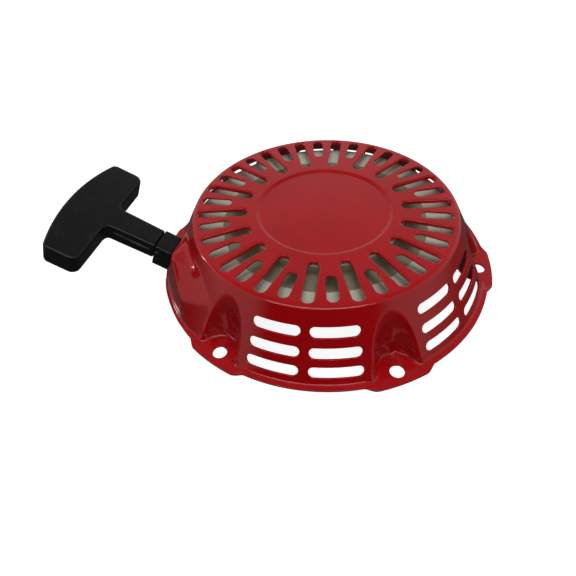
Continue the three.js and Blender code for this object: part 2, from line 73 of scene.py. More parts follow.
CASE_HEIGHT = cad_mm("case")[1].z
EAR_RADIUS = cad_mm("case")[1].x
FLANGE_RADIUS = EAR_RADIUS - 2.4
FLANGE_TOP = 1.3
SHEET = 1.2
TOP_EDGE_RADIUS = 70.9
FOOT_RADIUS = 90.6
RIM_FILLET = 3.0
FOOT_FILLET = 1.8
RECESS_RADIUS = 35.8
RECESS_DEPTH = 1.0
EAR_HALF_ANGLE = 9.4
BAND_RAISE = 0.7              # how far the flange stands above the ears' pads
BOLT_CIRCLE_RADIUS = 87.5
BOLT_HOLE_RADIUS = 3.65
SCOOP_CENTRE = 87.0
SCOOP_RADIUS = 10.2
SCOOP_DRAFT = 0.06
SCOOP_FLARE = math.radians(22)
SCOOP_EDGE = 1.4
PUCKER = 0.34                 # ripples left in the sheet round the scoops' feet

VENT_PITCH = 20.0
VENT_HALF_WIDTH = 2.9
SHORT_VENT = (51.1, 68.1, 0.0)
LONG_VENT = (41.7, 68.7, 10.0)
VENT_BEND = 1.0               # outer bend radius of the long vents' turned-down rims
VENT_LIP = 2.3
PUNCHED_EDGE = 0.28

WINDOW_ROWS = (7.6, 16.15, 25.4)
WINDOW_HALF_HEIGHT = 2.4
WINDOW_ANGLES = (1.55, 19.02)
WINDOW_BAYS = (30, 90, 150, 270, 330)

pull_joint = next(joint for joint in frame["joints"] if joint["name"] == "handle_pull")
PULL = Vector(pull_joint["axis"])
OUTLET = Vector((-79.8, -26.9, 19.0))
OUTLET_SIDE = Vector((0, 0, 1)).cross(PULL).normalized()
OUTLET_UP = PULL.cross(OUTLET_SIDE).normalized()
ROPE_LINE = 1.2               # the rope's height above the outlet frame's axis
ROPE_RADIUS = 2.25
ROPE_HOLE_RADIUS = 5.6

REEL = SimpleNamespace(
    top=34.0, disc_top=28.4, disc_low=26.2, rim_inner=55.3, rim=70.0, rim_top=29.4,
    skirt_inner=67.8, skirt_low=21.4, drum_inner=40.5, drum_outer=42.7, drum_floor=26.5,
    bore=8.3, groove_top=24.9, groove_low=14.9, groove=29.6, flange=46.0,
    bottom=13.1, hub=12.0, hub_low=11.0)

WALL_SLOPE = (FOOT_RADIUS - TOP_EDGE_RADIUS) / CASE_HEIGHT
WALL_COS = 1 / math.hypot(1, WALL_SLOPE)      # horizontal part of the wall's normal
WALL_LEAN = math.atan2(1, WALL_SLOPE)

SECTORS = 12                  # ears and bays in turn, each with as many columns
COLUMNS = 40 * SECTORS
FAR = 50.0                    # a distance larger than any that matters


def at_outlet(u, v, w):
    """A point given in the outlet frame: along the pull, across it, and up from it."""
    return OUTLET + u * PULL + v * OUTLET_SIDE + w * OUTLET_UP


def polar(radius, degrees, z):
    return Vector((radius * math.cos(math.radians(degrees)), radius * math.sin(math.radians(degrees)), z))


def wall_radius(z):
    return FOOT_RADIUS - WALL_SLOPE * z


def smooth_step(value, low, high):
    share = np.clip((value - low) / (high - low), 0, 1)
    return share * share * (3 - 2 * share)


# ---------------------------------------------------------------- the wall as a rounded solid

def boss_planes():
    """Unit normals and offsets of the stamped boss round the rope outlet, a convex block."""
    face, below = -0.3, -3
    foot = ((89, 190), (91.2, 197), (91.4, 204), (91.4, 212), (91.2, 220), (90.4, 228), (84, 235),
            (60, 190), (60, 230))
    corners = [at_outlet(face, v, w) for v, w in ((8.6, 9.4), (-8.8, 9.4), (-8.8, -9), (8.6, -4))]
    corners += [polar(wall_radius(z), azimuth, z) for azimuth, z in ((219, 28), (230.5, 20.5))]
    corners += [polar(radius, azimuth, below) for radius, azimuth in foot]
    corners += [polar(88.2, 219.5, 16.5), polar(60, 190, 32), polar(60, 220, 30)]
    hull = bmesh.new()
    for corner in corners:
        hull.verts.new(corner)
    bmesh.ops.convex_hull(hull, input=hull.verts)
    hull.normal_update()
    planes = {}
    for side in hull.faces:
        plane = (*side.normal, side.normal.dot(side.verts[0].co))
        planes[tuple(round(value, 2) for value in plane)] = plane
    hull.free()
    return np.array(list(planes.values()))


BOSS = boss_planes()
BOSS_EDGE = 0.28              # how far the boss's edges are rounded
BOSS_FILLET = 2.2             # where the boss runs into the wall


def rounded_union(a, b, radius):
    reach = np.hypot(np.maximum(radius - a, 0), np.maximum(radius - b, 0))
    return np.maximum(radius, np.minimum(a, b)) - reach


def rounded_cut(a, b, radius):
    """The solid a with b cut away, its new edge rounded."""
    reach = np.hypot(np.maximum(radius + a, 0), np.maximum(radius - b, 0))
    return np.minimum(-radius, np.maximum(a, -b)) + reach


def scoop_distance(points):
    """Distance to the clearance scoop round the nearest bolt, negative inside it."""
    x, y, z = points
    azimuth = np.arctan2(y, x)
    pitch = math.pi / 3
    azimuth = azimuth - pitch * np.round(azimuth / pitch)
    radius = np.hypot(x, y)
    out = radius * np.cos(azimuth) - SCOOP_CENTRE
    across = np.abs(radius * np.sin(azimuth))
    size = SCOOP_RADIUS + SCOOP_DRAFT * z
    on_side = out * math.cos(SCOOP_FLARE) + across * math.sin(SCOOP_FLARE) > 0
    side = across * math.cos(SCOOP_FLARE) - out * math.sin(SCOOP_FLARE) - size
    return np.where(on_side, side, np.hypot(out, across) - size)


def folds(points, scoop):
    """Uneven ripples in the sheet, near a scoop's surface and low down."""
    x, y, z = points
    where = np.exp(-(scoop / 3) ** 2) * smooth_step(-z, -11, -3) * smooth_step(z, 1.5, 4.5)
    drift = 1.5 * np.sin(0.31 * y + 0.22 * z) + 1.1 * np.sin(0.23 * x - 0.4 * z)
    crossed = np.sin(0.9 * x + 0.5 * z + drift) * np.cos(0.8 * y - 0.7 * z - drift)
    return PUCKER * where * (crossed + 0.4 * np.sin(1.7 * z + 2 * drift))


def wall_distance(points):
    """Distance to the outer skin of the drum's wall, with its outlet boss and its scoops."""
    x, y, z = points
    cone = (np.hypot(x, y) - wall_radius(z)) * WALL_COS
    offsets = (BOSS[:, :3] @ points.reshape(3, -1) - BOSS[:, 3:]) / BOSS_EDGE
    top = offsets.max(0)
    boss = BOSS_EDGE * (top + np.log(np.exp(offsets - top).sum(0))).reshape(x.shape)
    scoop = scoop_distance(points)
    return rounded_cut(rounded_union(cone, boss, BOSS_FILLET), scoop, SCOOP_EDGE) + folds(points, scoop)


def measured(distance, points, nudge, axes=3):
    """A distance at points of shape (3, ...), and how fast it grows along the first axes."""
    here = distance(points)
    shifts = nudge * np.eye(3).reshape(3, 3, *[1] * (points.ndim - 1))
    return here, np.stack([distance(points + shift) - here for shift in shifts[:axes]]) / nudge


def settled(points, steps):
    """Points moved level, along the steepest way, on to the wall's outer skin."""
    for _ in range(steps):
        here, slope = measured(wall_distance, points, 0.01, 2)
        move = np.clip(here / np.maximum((slope ** 2).sum(0), 0.15), -1, 1) * slope
        points = points - np.stack([*move, np.zeros_like(here)])
    return points


def level_contour(z):
    """The wall's outline at one height, with its points spaced evenly between ears and bays."""
    fine = 200
    azimuths = np.arange(SECTORS * fine) * 2 * math.pi / (SECTORS * fine)
    circle = np.stack([np.cos(azimuths), np.sin(azimuths)])
    radius = np.full(azimuths.shape, 110.0)
    for _ in range(60):
        radius = radius - wall_distance(np.stack([*(radius * circle), np.full_like(radius, z)]))
    points = radius * circle
    closed = np.concatenate([points, points[:, :1]], 1)
    length = np.concatenate([[0], np.cumsum(np.hypot(*np.diff(closed, axis=1)))])
    corners = length[::fine]
    wanted = np.concatenate([
        np.linspace(start, end, COLUMNS // SECTORS, endpoint=False)
        for start, end in zip(corners, corners[1:])])
    level = [np.interp(wanted, length, along) for along in closed]
    return settled(np.stack([*level, np.full(COLUMNS, z)]), 4)


# ---------------------------------------------------------------- the case's skin as a grid

def off_ear(azimuth, before, after):
    """0 on the ears and 1 between them, with a soft step at their sides. Angles are in degrees."""
    away = np.abs(azimuth - 60 * np.round(azimuth / 60))
    return smooth_step(away, EAR_HALF_ANGLE - before, EAR_HALF_ANGLE + after)


def floor_height(points):
    """The flange's upper face: low on the ears' pads and a little higher between them."""
    return FLANGE_TOP + BAND_RAISE * off_ear(np.degrees(np.arctan2(points[1], points[0])), 0.3, 2.2)


def case_grid():
    """Rows of points from the top's middle to the flange's edge, shaped (rows, columns, 3)."""
    azimuths = np.arange(COLUMNS) * 2 * math.pi / COLUMNS
    circle = np.stack([np.cos(azimuths), np.sin(azimuths)])
    flat_end = TOP_EDGE_RADIUS - RIM_FILLET * math.tan(WALL_LEAN / 2)
    step_half = 1.1           # half the width of the step down into the recess
    radii = np.concatenate([
        [4, 12, 22, 31], np.arange(-step_half, step_half + 0.01, 0.2) + RECESS_RADIUS,
        np.arange(38.0, flat_end - 0.3, 1.0), [flat_end]])
    depths = RECESS_DEPTH * (1 - smooth_step(radii, RECESS_RADIUS - step_half, RECESS_RADIUS + step_half))
    bends = np.linspace(0, WALL_LEAN, 7)[1:]
    radii = [*radii, *(flat_end + RIM_FILLET * np.sin(bends))]
    depths = [*depths, *(RIM_FILLET * (1 - np.cos(bends)))]
    rows = [np.stack([*(radius * circle), np.full(COLUMNS, CASE_HEIGHT - depth)])
            for radius, depth in zip(radii, depths)]
    foot_start = FLANGE_TOP + BAND_RAISE + FOOT_FILLET
    heights = np.linspace(rows[-1][2, 0], foot_start + 0.4, 33)[1:]
    rows.extend(level_contour(z) for z in heights)
    rows.extend(foot_rows(rows[-1]))
    rows.extend(flange_rows(rows[-1]))
    return np.stack(rows).transpose(0, 2, 1)


def wall_normals(points):
    _, slope = measured(wall_distance, points, 0.02)
    return slope / np.linalg.norm(slope, axis=0)


def foot_rows(last):
    """The hollow fillet that turns the wall out into the flange."""
    start = last.copy()
    for _ in range(3):
        normals = wall_normals(start)
        start[2] = floor_height(start) + FOOT_FILLET * (1 - normals[2])
        start = settled(start, 4)
    normals = wall_normals(start)
    centre = start + FOOT_FILLET * normals
    level = normals[:2] / np.linalg.norm(normals[:2], axis=0)
    lean = np.arctan2(normals[2], np.linalg.norm(normals[:2], axis=0))
    rows = [start]
    for share in np.linspace(0, 1, 6)[1:]:
        angle = lean + share * (math.pi / 2 - lean)
        outward = np.stack([*(np.cos(angle) * level), np.sin(angle)])
        rows.append(centre - FOOT_FILLET * outward)
    return rows


def flange_rows(foot):
    """From the fillet's end out to the flange's edge, which bulges at the ears."""
    trend = np.arange(COLUMNS) * 2 * math.pi / COLUMNS
    drift = np.arctan2(foot[1], foot[0]) - trend
    drift = np.arctan2(np.sin(drift), np.cos(drift))
    spread = 14               # columns to either side that even the drift out
    drift = sum(np.roll(drift, shift) for shift in range(-spread, spread + 1)) / (2 * spread + 1)
    azimuth = trend + drift
    ear = 1 - off_ear(np.degrees(azimuth), 1.6, 2.4)
    radius = FLANGE_RADIUS + (EAR_RADIUS - FLANGE_RADIUS) * ear - PUNCHED_EDGE
    radius = np.maximum(radius, np.hypot(*foot[:2]) + 0.3)
    outline = radius * np.stack([np.cos(azimuth), np.sin(azimuth)])
    rows = []
    for share in np.linspace(0, 1, 12)[1:]:
        level = foot[:2] + share * (outline - foot[:2])
        rise = (floor_height(level) - foot[2]) * smooth_step(share, 0, 0.4)
        rows.append(np.stack([*level, foot[2] + rise]))
    return rows


def grid_normals(grid):
    along = np.roll(grid, -1, 1) - np.roll(grid, 1, 1)
    down = np.gradient(grid, axis=0)
    normals = np.cross(down, along)
    return normals / np.linalg.norm(normals, axis=2, keepdims=True)


# ---------------------------------------------------------------- openings in the case

def stadium_distance(along, across, low, high, half):
    """Distance to a slot with round ends, which spans low to high."""
    past = np.maximum(np.maximum(low + half - along, along - high + half), 0)
    return np.hypot(past, across) - half


def folded(points, pitch, phase):
    """Coordinates along and across the nearest of the directions that repeat every pitch degrees."""
    radius = np.hypot(points[..., 0], points[..., 1])
    azimuth = np.degrees(np.arctan2(points[..., 1], points[..., 0])) - phase
    azimuth = np.radians(azimuth - pitch * np.round(azimuth / pitch))
    return radius * np.cos(azimuth), radius * np.sin(azimuth)


def vent_distance(points, vent):
    along, across = folded(points, VENT_PITCH, vent[2])
    distance = stadium_distance(along, across, vent[0], vent[1], VENT_HALF_WIDTH)
    return np.where(points[..., 2] > CASE_HEIGHT - 2.5, distance, FAR)


def window_distance(points):
    best = np.full(points.shape[:-1], FAR)
    middle = sum(WINDOW_ANGLES) / 2
    spread = math.radians((WINDOW_ANGLES[1] - WINDOW_ANGLES[0]) / 2)
    radius = np.hypot(points[..., 0], points[..., 1])
    azimuth = np.degrees(np.arctan2(points[..., 1], points[..., 0]))
    half = WINDOW_HALF_HEIGHT / math.sin(WALL_LEAN)
    for centre in (bay + side for bay in WINDOW_BAYS for side in (-middle, middle)):
        turn = np.radians((azimuth - centre + 180) % 360 - 180)
        for z in WINDOW_ROWS:
            reach = wall_radius(z) * math.sin(spread)
            rise = (points[..., 2] - z) / math.sin(WALL_LEAN)
            distance = stadium_distance(radius * np.sin(turn), rise, -reach, reach, half)
            best = np.where(np.abs(turn) < 0.5, np.minimum(best, distance), best)
    on_wall = (points[..., 2] > FLANGE_TOP + 1) & (points[..., 2] < CASE_HEIGHT - RIM_FILLET)
    return np.where(on_wall, best, FAR)


def bolt_distance(points):
    along, across = folded(points, 60, 0)
    distance = np.hypot(along - BOLT_CIRCLE_RADIUS, across) - BOLT_HOLE_RADIUS
    return np.where(points[..., 2] < 6, distance, FAR)


def rope_hole_distance(points):
    offset = points - np.array(OUTLET)
    up = offset @ np.array(OUTLET_UP) - ROPE_LINE
    side = offset @ np.array(OUTLET_SIDE)
    near = np.abs(offset @ np.array(PULL)) < 6
    return np.where(near, np.hypot(up, side) - ROPE_HOLE_RADIUS, FAR)


# each opening's distance, the bend at its edge and how far that edge is turned down
OPENINGS = (
    (lambda points: vent_distance(points, LONG_VENT), VENT_BEND, VENT_LIP),
    (lambda points: vent_distance(points, SHORT_VENT), PUNCHED_EDGE, SHEET),
    (window_distance, PUNCHED_EDGE, SHEET),
    (bolt_distance, PUNCHED_EDGE, SHEET),
    (rope_hole_distance, PUNCHED_EDGE, SHEET),
)


def opening_distances(points):
    return np.stack([distance(points) - edge for distance, edge, _ in OPENINGS])


def nearest_opening(points):
    return opening_distances(points).min(0)


def away_from_openings(points):
    """The direction in which the nearest opening gets farther, at unit length."""
    nudge = 0.01
    here = nearest_opening(points)
    slopes = np.stack([
        nearest_opening(points + nudge * np.eye(3)[axis]) - here for axis in range(3)], -1)
    return slopes / np.maximum(np.linalg.norm(slopes, axis=-1, keepdims=True), 1e-9)


def opening_edges(points, distance, triangles):
    """Where each edge that crosses an opening's outline does so: a place in 0..1 for each pair."""
    pairs = np.concatenate([triangles[:, [0, 1]], triangles[:, [1, 2]], triangles[:, [2, 0]]])
    pairs = np.unique(np.sort(pairs, 1), axis=0)
    pairs = pairs[distance[pairs[:, 0]] * distance[pairs[:, 1]] < 0]
    start, along = points[pairs[:, 0]], points[pairs[:, 1]] - points[pairs[:, 0]]
    low, high = np.zeros(len(pairs)), np.ones(len(pairs))
    d_low, d_high = distance[pairs[:, 0]].copy(), distance[pairs[:, 1]].copy()
    share = d_low / (d_low - d_high)
    for _ in range(4):
        value = nearest_opening(start + share[:, None] * along)
        same = (value > 0) == (d_low > 0)
        low, d_low = np.where(same, share, low), np.where(same, value, d_low)
        high, d_high = np.where(same, high, share), np.where(same, d_high, value)
        share = low + (high - low) * d_low / (d_low - d_high)
    return pairs, share


def clipped(points, normals, triangles, on_outline):
    """The skin with its openings cut out: points, normals and triangles."""
    distance = nearest_opening(points)
    distance[:len(on_outline)][on_outline] = 0
    signs = np.sign(distance)[triangles]
    solid = (signs.min(1) >= 0) & (signs.max(1) > 0)
    mixed = triangles[(signs.min(1) < 0) & (signs.max(1) > 0)]
    pairs, share = opening_edges(points, distance, mixed)
    number = {(int(a), int(b)): len(points) + k for k, (a, b) in enumerate(pairs)}
    share = share[:, None]
    new_points = points[pairs[:, 0]] * (1 - share) + points[pairs[:, 1]] * share
    new_normals = normals[pairs[:, 0]] * (1 - share) + normals[pairs[:, 1]] * share
    new_normals /= np.linalg.norm(new_normals, axis=1, keepdims=True)
    faces = triangles[solid].tolist()
    for triangle in mixed.tolist():
        outline = []
        for here, after in zip(triangle, triangle[1:] + triangle[:1]):
            if distance[here] >= 0:
                outline.append(here)
            if distance[here] * distance[after] < 0:
                outline.append(number[(min(here, after), max(here, after))])
        faces.extend([outline[0], outline[k], outline[k + 1]] for k in range(1, len(outline) - 1))
    return np.concatenate([points, new_points]), np.concatenate([normals, new_normals]), faces


def snapped(points, normals):
    """Points that lie very near an opening's outline, slid on to it, so that no sliver is cut."""
    reach = 0.14
    for _ in range(2):
        distance = nearest_opening(points)
        close = np.abs(distance) < reach
        away = away_from_openings(points[close])
        away -= normals[close] * (away * normals[close]).sum(-1, keepdims=True)
        away /= np.maximum(np.linalg.norm(away, axis=-1, keepdims=True), 1e-9)
        points[close] -= away * distance[close][:, None]
    return points, close


def boundary_loops(triangles):
    edges = set()
    for a, b, c in triangles:
        edges.update(((a, b), (b, c), (c, a)))
    following = {a: b for a, b in edges if (b, a) not in edges}
    loops = []
    while following:
        start, here = following.popitem()
        loop = [start]
        while here != start:
            loop.append(here)
            here = following.pop(here)
        loops.append(loop)
    return loops


def edge_profile(bend, lip):
    """Steps from the outer skin's edge to the inner one: (towards the opening, down, normal's angle)."""
    steps = []
    for angle in np.radians([30, 60, 90] if lip > SHEET else [45, 90]):
        steps.append((bend * math.sin(angle), bend * (1 - math.cos(angle)), angle))
    corner = 0.25
    steps.append((bend, lip - corner, math.pi / 2))
    steps.append((bend - corner * 0.3, lip - corner * 0.3, 0.75 * math.pi))
    steps.append((bend - corner, lip, math.pi))
    if lip > SHEET:
        steps.append((corner, lip, math.pi))
        steps.append((corner * 0.3, lip - corner * 0.3, 1.25 * math.pi))
        steps.append((0, lip - corner, 1.5 * math.pi))
    return steps


def case_mesh():
    grid = case_grid()
    rows, columns = grid.shape[:2]
    points = grid.reshape(-1, 3)
    flat_normals = grid_normals(grid).reshape(-1, 3)
    points, on_outline = snapped(points, flat_normals)
    index = np.arange(rows * columns).reshape(rows, columns)
    a, b = index[:-1], index[1:]
    quads = np.stack([a, b, np.roll(b, -1, 1), np.roll(a, -1, 1)], -1).reshape(-1, 4)
    diagonals = [np.linalg.norm(points[quads[:, k]] - points[quads[:, k + 2]], axis=1) for k in (0, 1)]
    short = (diagonals[0] < diagonals[1])[:, None]
    first = np.where(short, quads[:, [0, 1, 2]], quads[:, [0, 1, 3]])
    second = np.where(short, quads[:, [0, 2, 3]], quads[:, [1, 2, 3]])
    fan = [(len(points), index[0, k], index[0, (k + 1) % columns]) for k in range(columns)]
    points = np.concatenate([points, [[0, 0, CASE_HEIGHT - RECESS_DEPTH]]])
    flat_normals = np.concatenate([flat_normals, [[0, 0, 1]]])
    triangles = np.concatenate([first, second, fan])
    return closed_sheet(*clipped(points, flat_normals, triangles, on_outline))


def closed_sheet(points, normals, triangles):
    """The clipped skin given its thickness, with a rounded or turned-down edge at every opening."""
    count = len(points)
    all_points = [points, points - SHEET * normals]
    all_normals = [normals, -normals]
    faces = triangles + [(c + count, b + count, a + count) for a, b, c in triangles]
    used = 2 * count
    for loop in boundary_loops(triangles):
        loop_points, loop_normals = points[loop], normals[loop]
        gaps = opening_distances(loop_points[:1])[:, 0]
        kind = int(np.argmin(gaps))
        if gaps[kind] < 0.3:
            bend, lip = OPENINGS[kind][1:]
            towards = -away_from_openings(loop_points)
            towards -= loop_normals * (towards * loop_normals).sum(-1, keepdims=True)
        else:
            bend, lip = PUNCHED_EDGE, SHEET
            towards = np.cross(np.roll(loop_points, -1, 0) - np.roll(loop_points, 1, 0), loop_normals)
        towards /= np.linalg.norm(towards, axis=-1, keepdims=True)
        previous = list(loop)
        for out, down, angle in edge_profile(bend, lip):
            all_points.append(loop_points + out * towards - down * loop_normals)
            all_normals.append(math.cos(angle) * loop_normals + math.sin(angle) * towards)
            current = list(range(used, used + len(loop)))
            used += len(loop)
            faces += strip(previous, current)
            previous = current
        faces += strip(previous, [corner + count for corner in loop])
    solid = np.concatenate(all_points)
    solid[:, 2] = np.maximum(solid[:, 2], 0)
    return solid, np.concatenate(all_normals), faces


def strip(upper, lower):
    """Faces between one loop of corners and the next."""
    corners = zip(upper, upper[1:] + upper[:1], lower, lower[1:] + lower[:1])
    return [(after, here, below, below_after) for here, after, below, below_after in corners]


def mesh_object(name, points, faces, normals):
    """A mesh object from points in millimetres, left out of the mesh where no face uses them."""
    used = np.zeros(len(points), bool)
    used[np.fromiter((corner for face in faces for corner in face), int)] = True
    place = np.cumsum(used) - 1
    mesh = bpy.data.meshes.new(name)
    mesh.from_pydata((points[used] * MM).tolist(), [], [[int(place[c]) for c in face] for face in faces])
    mesh.polygons.foreach_set("use_smooth", np.ones(len(faces), bool))
    mesh.update()
    mesh.normals_split_custom_set_from_vertices(normals[used].tolist())
    piece = bpy.data.objects.new(name, mesh)
    bpy.context.scene.collection.objects.link(piece)
    return piece


# ---------------------------------------------------------------- rounded solids as level-set meshes

def surface_net(distance, low, high, pitch):
    """Points, normals and quads of the surface where a distance field is zero."""
    axes = [np.arange(a - pitch, b + 2 * pitch, pitch) for a, b in zip(low, high)]
    grid = np.stack(np.meshgrid(*axes, indexing="ij"))
    field = distance(grid)
    corner_steps = [(i, j, k) for i in (0, 1) for j in (0, 1) for k in (0, 1)]

    def corner(step):
        return field[tuple(slice(s, size - 1 + s) for s, size in zip(step, field.shape))]

    inside = sum((corner(step) < 0).astype(int) for step in corner_steps)
    active = (inside > 0) & (inside < 8)
    number = np.full(active.shape, -1)
    number[active] = np.arange(active.sum())
    total = np.zeros((3, *active.shape))
    crossings = np.zeros(active.shape)
    for start in corner_steps:
        for axis in range(3):
            if start[axis]:
                continue
            end = tuple(s + (n == axis) for n, s in enumerate(start))
            a, b = corner(start), corner(end)
            crosses = (a < 0) != (b < 0)
            share = np.where(crosses, a / np.where(crosses, a - b, 1), 0)
            for n in range(3):
                total[n] += crosses * (start[n] + (share if n == axis else 0))
            crossings += crosses
    points = (total / np.maximum(crossings, 1))[:, active]
    origin = np.stack([axis[:-1][where] for axis, where in zip(axes, np.nonzero(active))])
    points = origin + points * pitch
    quads = []
    for axis in range(3):
        first, second = (axis + 1) % 3, (axis + 2) % 3
        a = np.take(field, range(0, field.shape[axis] - 1), axis) < 0
        b = np.take(field, range(1, field.shape[axis]), axis) < 0
        edges = np.argwhere(a != b)
        for other in (first, second):
            edges = edges[(edges[:, other] > 0) & (edges[:, other] < field.shape[other] - 1)]
        outward = a[tuple(edges.T)]
        around = []
        for s, t in ((0, 0), (1, 0), (1, 1), (0, 1)):
            cell = edges.copy()
            cell[:, first] -= s
            cell[:, second] -= t
            around.append(number[tuple(cell.T)])
        quad = np.stack(around, 1)
        quads.append(np.where(outward[:, None], quad, quad[:, ::-1]))
    return settled_net(distance, points, np.concatenate(quads))


def field_slopes(distance, points):
    """How fast a distance grows along each axis, and the square of its steepest slope."""
    nudge = 0.01
    slopes = np.stack([
        distance(points + shift[:, None]) - distance(points - shift[:, None])
        for shift in nudge * np.eye(3)]) / (2 * nudge)
    return slopes, np.maximum((slopes ** 2).sum(0), 0.05)


def settled_net(distance, points, quads):
    """The net evened out along its surface, and drawn on to it."""
    starts, ends = quads.ravel(), np.roll(quads, -1, 1).ravel()
    for _ in range(6):
        total, count = np.zeros_like(points), np.zeros(points.shape[1])
        for a, b in ((starts, ends), (ends, starts)):
            for axis in range(3):
                total[axis] += np.bincount(a, points[axis, b], points.shape[1])
            count += np.bincount(a, minlength=points.shape[1])
        slopes, steep = field_slopes(distance, points)
        shift = total / np.maximum(count, 1) - points
        shift -= slopes * (shift * slopes).sum(0) / steep
        points = points + 0.6 * shift
        for _ in range(2):
            slopes, steep = field_slopes(distance, points)
            points = points - np.clip(distance(points) / steep, -1, 1) * slopes
    slopes, _ = field_slopes(distance, points)
    normals = slopes / np.maximum(np.linalg.norm(slopes, axis=0), 1e-9)
    return points.T, normals.T, quads.tolist()


def rounded_box(across, up, half_across, half_up, corner):
    past = [np.abs(across) - half_across + corner, np.abs(up) - half_up + corner]
    outside = np.hypot(np.maximum(past[0], 0), np.maximum(past[1], 0))
    return outside + np.minimum(np.maximum(*past), 0) - corner


# ---------------------------------------------------------------- handle and rope guide at the outlet

GRIP_START = 9.6
BAR_INNER, BAR_CORNER, BAR_OUTER = 37.0, 55.0, 61.0
BAR_HALF_LENGTH = 35.8
BAR_OUTER_ROUND, BAR_INNER_ROUND = 2.4, 4.6
BAR_TOP, BAR_BOTTOM = 7.8, -6.3
NECK_BOTTOM = -2.9
NECK_HALF_WIDTH, NECK_ROOT_HALF_WIDTH = 6.6, 7.4
ROPE_BORE = 2.8
KNOT_POCKET_START, KNOT_POCKET_RADIUS = 44.0, 4.8
TOP_ROUND, BAR_LOW_ROUND, NECK_LOW_ROUND, NECK_FILLET = 1.7, 2.6, 1.3, 3.2
CROWN = 0.5                   # how far the bar's ends droop
GROOVE_HEIGHT, GROOVE_RADIUS, GROOVE_OUTSET = 3.6, 0.9, 0.35


def bar_outline(u, v):
    """Distance to the handle's bar seen from above: straight inside and bowed outside."""
    rise = BAR_OUTER - BAR_CORNER
    bow = (BAR_HALF_LENGTH ** 2 + rise ** 2) / (2 * rise)
    outer = np.hypot(u - BAR_OUTER + bow, v) - bow
    level = rounded_cut(outer, BAR_HALF_LENGTH - np.abs(v), BAR_OUTER_ROUND)
    return rounded_cut(level, u - BAR_INNER, BAR_INNER_ROUND)


def neck_outline(u, v):
    share = np.clip((u - GRIP_START) / (BAR_INNER - GRIP_START), 0, 1)
    half = NECK_HALF_WIDTH + (NECK_ROOT_HALF_WIDTH - NECK_HALF_WIDTH) * share
    return np.maximum(np.abs(v) - half, np.maximum(GRIP_START - u, u - BAR_INNER - 8))


def grip_distance(points):
    u, v, w = points
    crown = CROWN * (v / BAR_HALF_LENGTH) ** 2
    bar = rounded_cut(bar_outline(u, v), w - BAR_BOTTOM, BAR_LOW_ROUND)
    neck = rounded_cut(neck_outline(u, v), w - NECK_BOTTOM, NECK_LOW_ROUND)
    joined = rounded_cut(rounded_union(bar, neck, NECK_FILLET), BAR_TOP - w - crown, TOP_ROUND)
    on_neck = smooth_step(u, GRIP_START + 1.5, GRIP_START + 3)
    on_neck *= 1 - smooth_step(u, BAR_INNER - 6, BAR_INNER - 3)
    groove = np.hypot(np.abs(v) - NECK_HALF_WIDTH - GROOVE_OUTSET, w - GROOVE_HEIGHT)
    groove = groove - GROOVE_RADIUS * on_neck
    solid = rounded_cut(joined, groove, 0.3)
    line = np.hypot(v, w - ROPE_LINE)
    solid = np.maximum(solid, -np.maximum(line - ROPE_BORE, u - KNOT_POCKET_START - 1))
    pocket = np.maximum(line - KNOT_POCKET_RADIUS, KNOT_POCKET_START - u)
    return rounded_cut(solid, pocket, 0.5)


GUIDE_LENGTH = 9.3
GUIDE_HALF_WIDTH = 7.0
GUIDE_LOW, GUIDE_HIGH = -7.0, 7.8
SPIGOT_RADIUS, LIP_RADIUS, GUIDE_BORE = 5.3, 6.0, 3.0
SPIGOT_END, LIP_START = -3.3, -1.8
NOTCH_HEIGHT, NOTCH_RADIUS, NOTCH_LENGTH = 3.9, 1.1, 2.2
MOUTH_FLARE, MOUTH_LENGTH = 1.2, 1.5


def guide_distance(points):
    u, v, w = points
    middle, half = (GUIDE_HIGH + GUIDE_LOW) / 2, (GUIDE_HIGH - GUIDE_LOW) / 2
    section = rounded_box(v, w - middle, GUIDE_HALF_WIDTH, half, 1.3)
    collar = rounded_cut(rounded_cut(section, GUIDE_LENGTH - u, 0.6), u, 0.4)
    notch = np.hypot(np.abs(v) - GUIDE_HALF_WIDTH, w - NOTCH_HEIGHT) - NOTCH_RADIUS
    collar = rounded_cut(collar, np.maximum(notch, GUIDE_LENGTH - NOTCH_LENGTH - u), 0.3)
    line = np.hypot(v, w - ROPE_LINE)
    spigot = np.maximum(np.maximum(line - SPIGOT_RADIUS, u - 1), SPIGOT_END - u)
    lip = rounded_cut(rounded_cut(line - LIP_RADIUS, LIP_START - u, 0.3), u - SPIGOT_END, 0.5)
    solid = np.minimum(np.minimum(collar, spigot), lip)
    flare = smooth_step(u, GUIDE_LENGTH - MOUTH_LENGTH, GUIDE_LENGTH) ** 2
    flare += smooth_step(-u, -LIP_START, -SPIGOT_END) ** 2
    mouth = GUIDE_BORE + MOUTH_FLARE * flare
    return np.maximum(solid, -(line - mouth))


def outlet_object(name, distance, low, high, pitch):
    """A level-set solid made in the outlet frame and placed on the case."""
    points, normals, quads = surface_net(distance, low, high, pitch)
    turn = np.array(Matrix((PULL, OUTLET_SIDE, OUTLET_UP)))
    return mesh_object(name, points @ turn + np.array(OUTLET), quads, normals @ turn)


# ---------------------------------------------------------------- turned, flat and swept pieces

ON_AXIS = 1e-6


def rod(radius, low, high):
    """The profile of a plain rod."""
    return ring(0, radius, low, high)


def ring(inner, outer, low, high):
    """The profile of a plain ring."""
    return [(inner, low), (outer, low), (outer, high), (inner, high)]


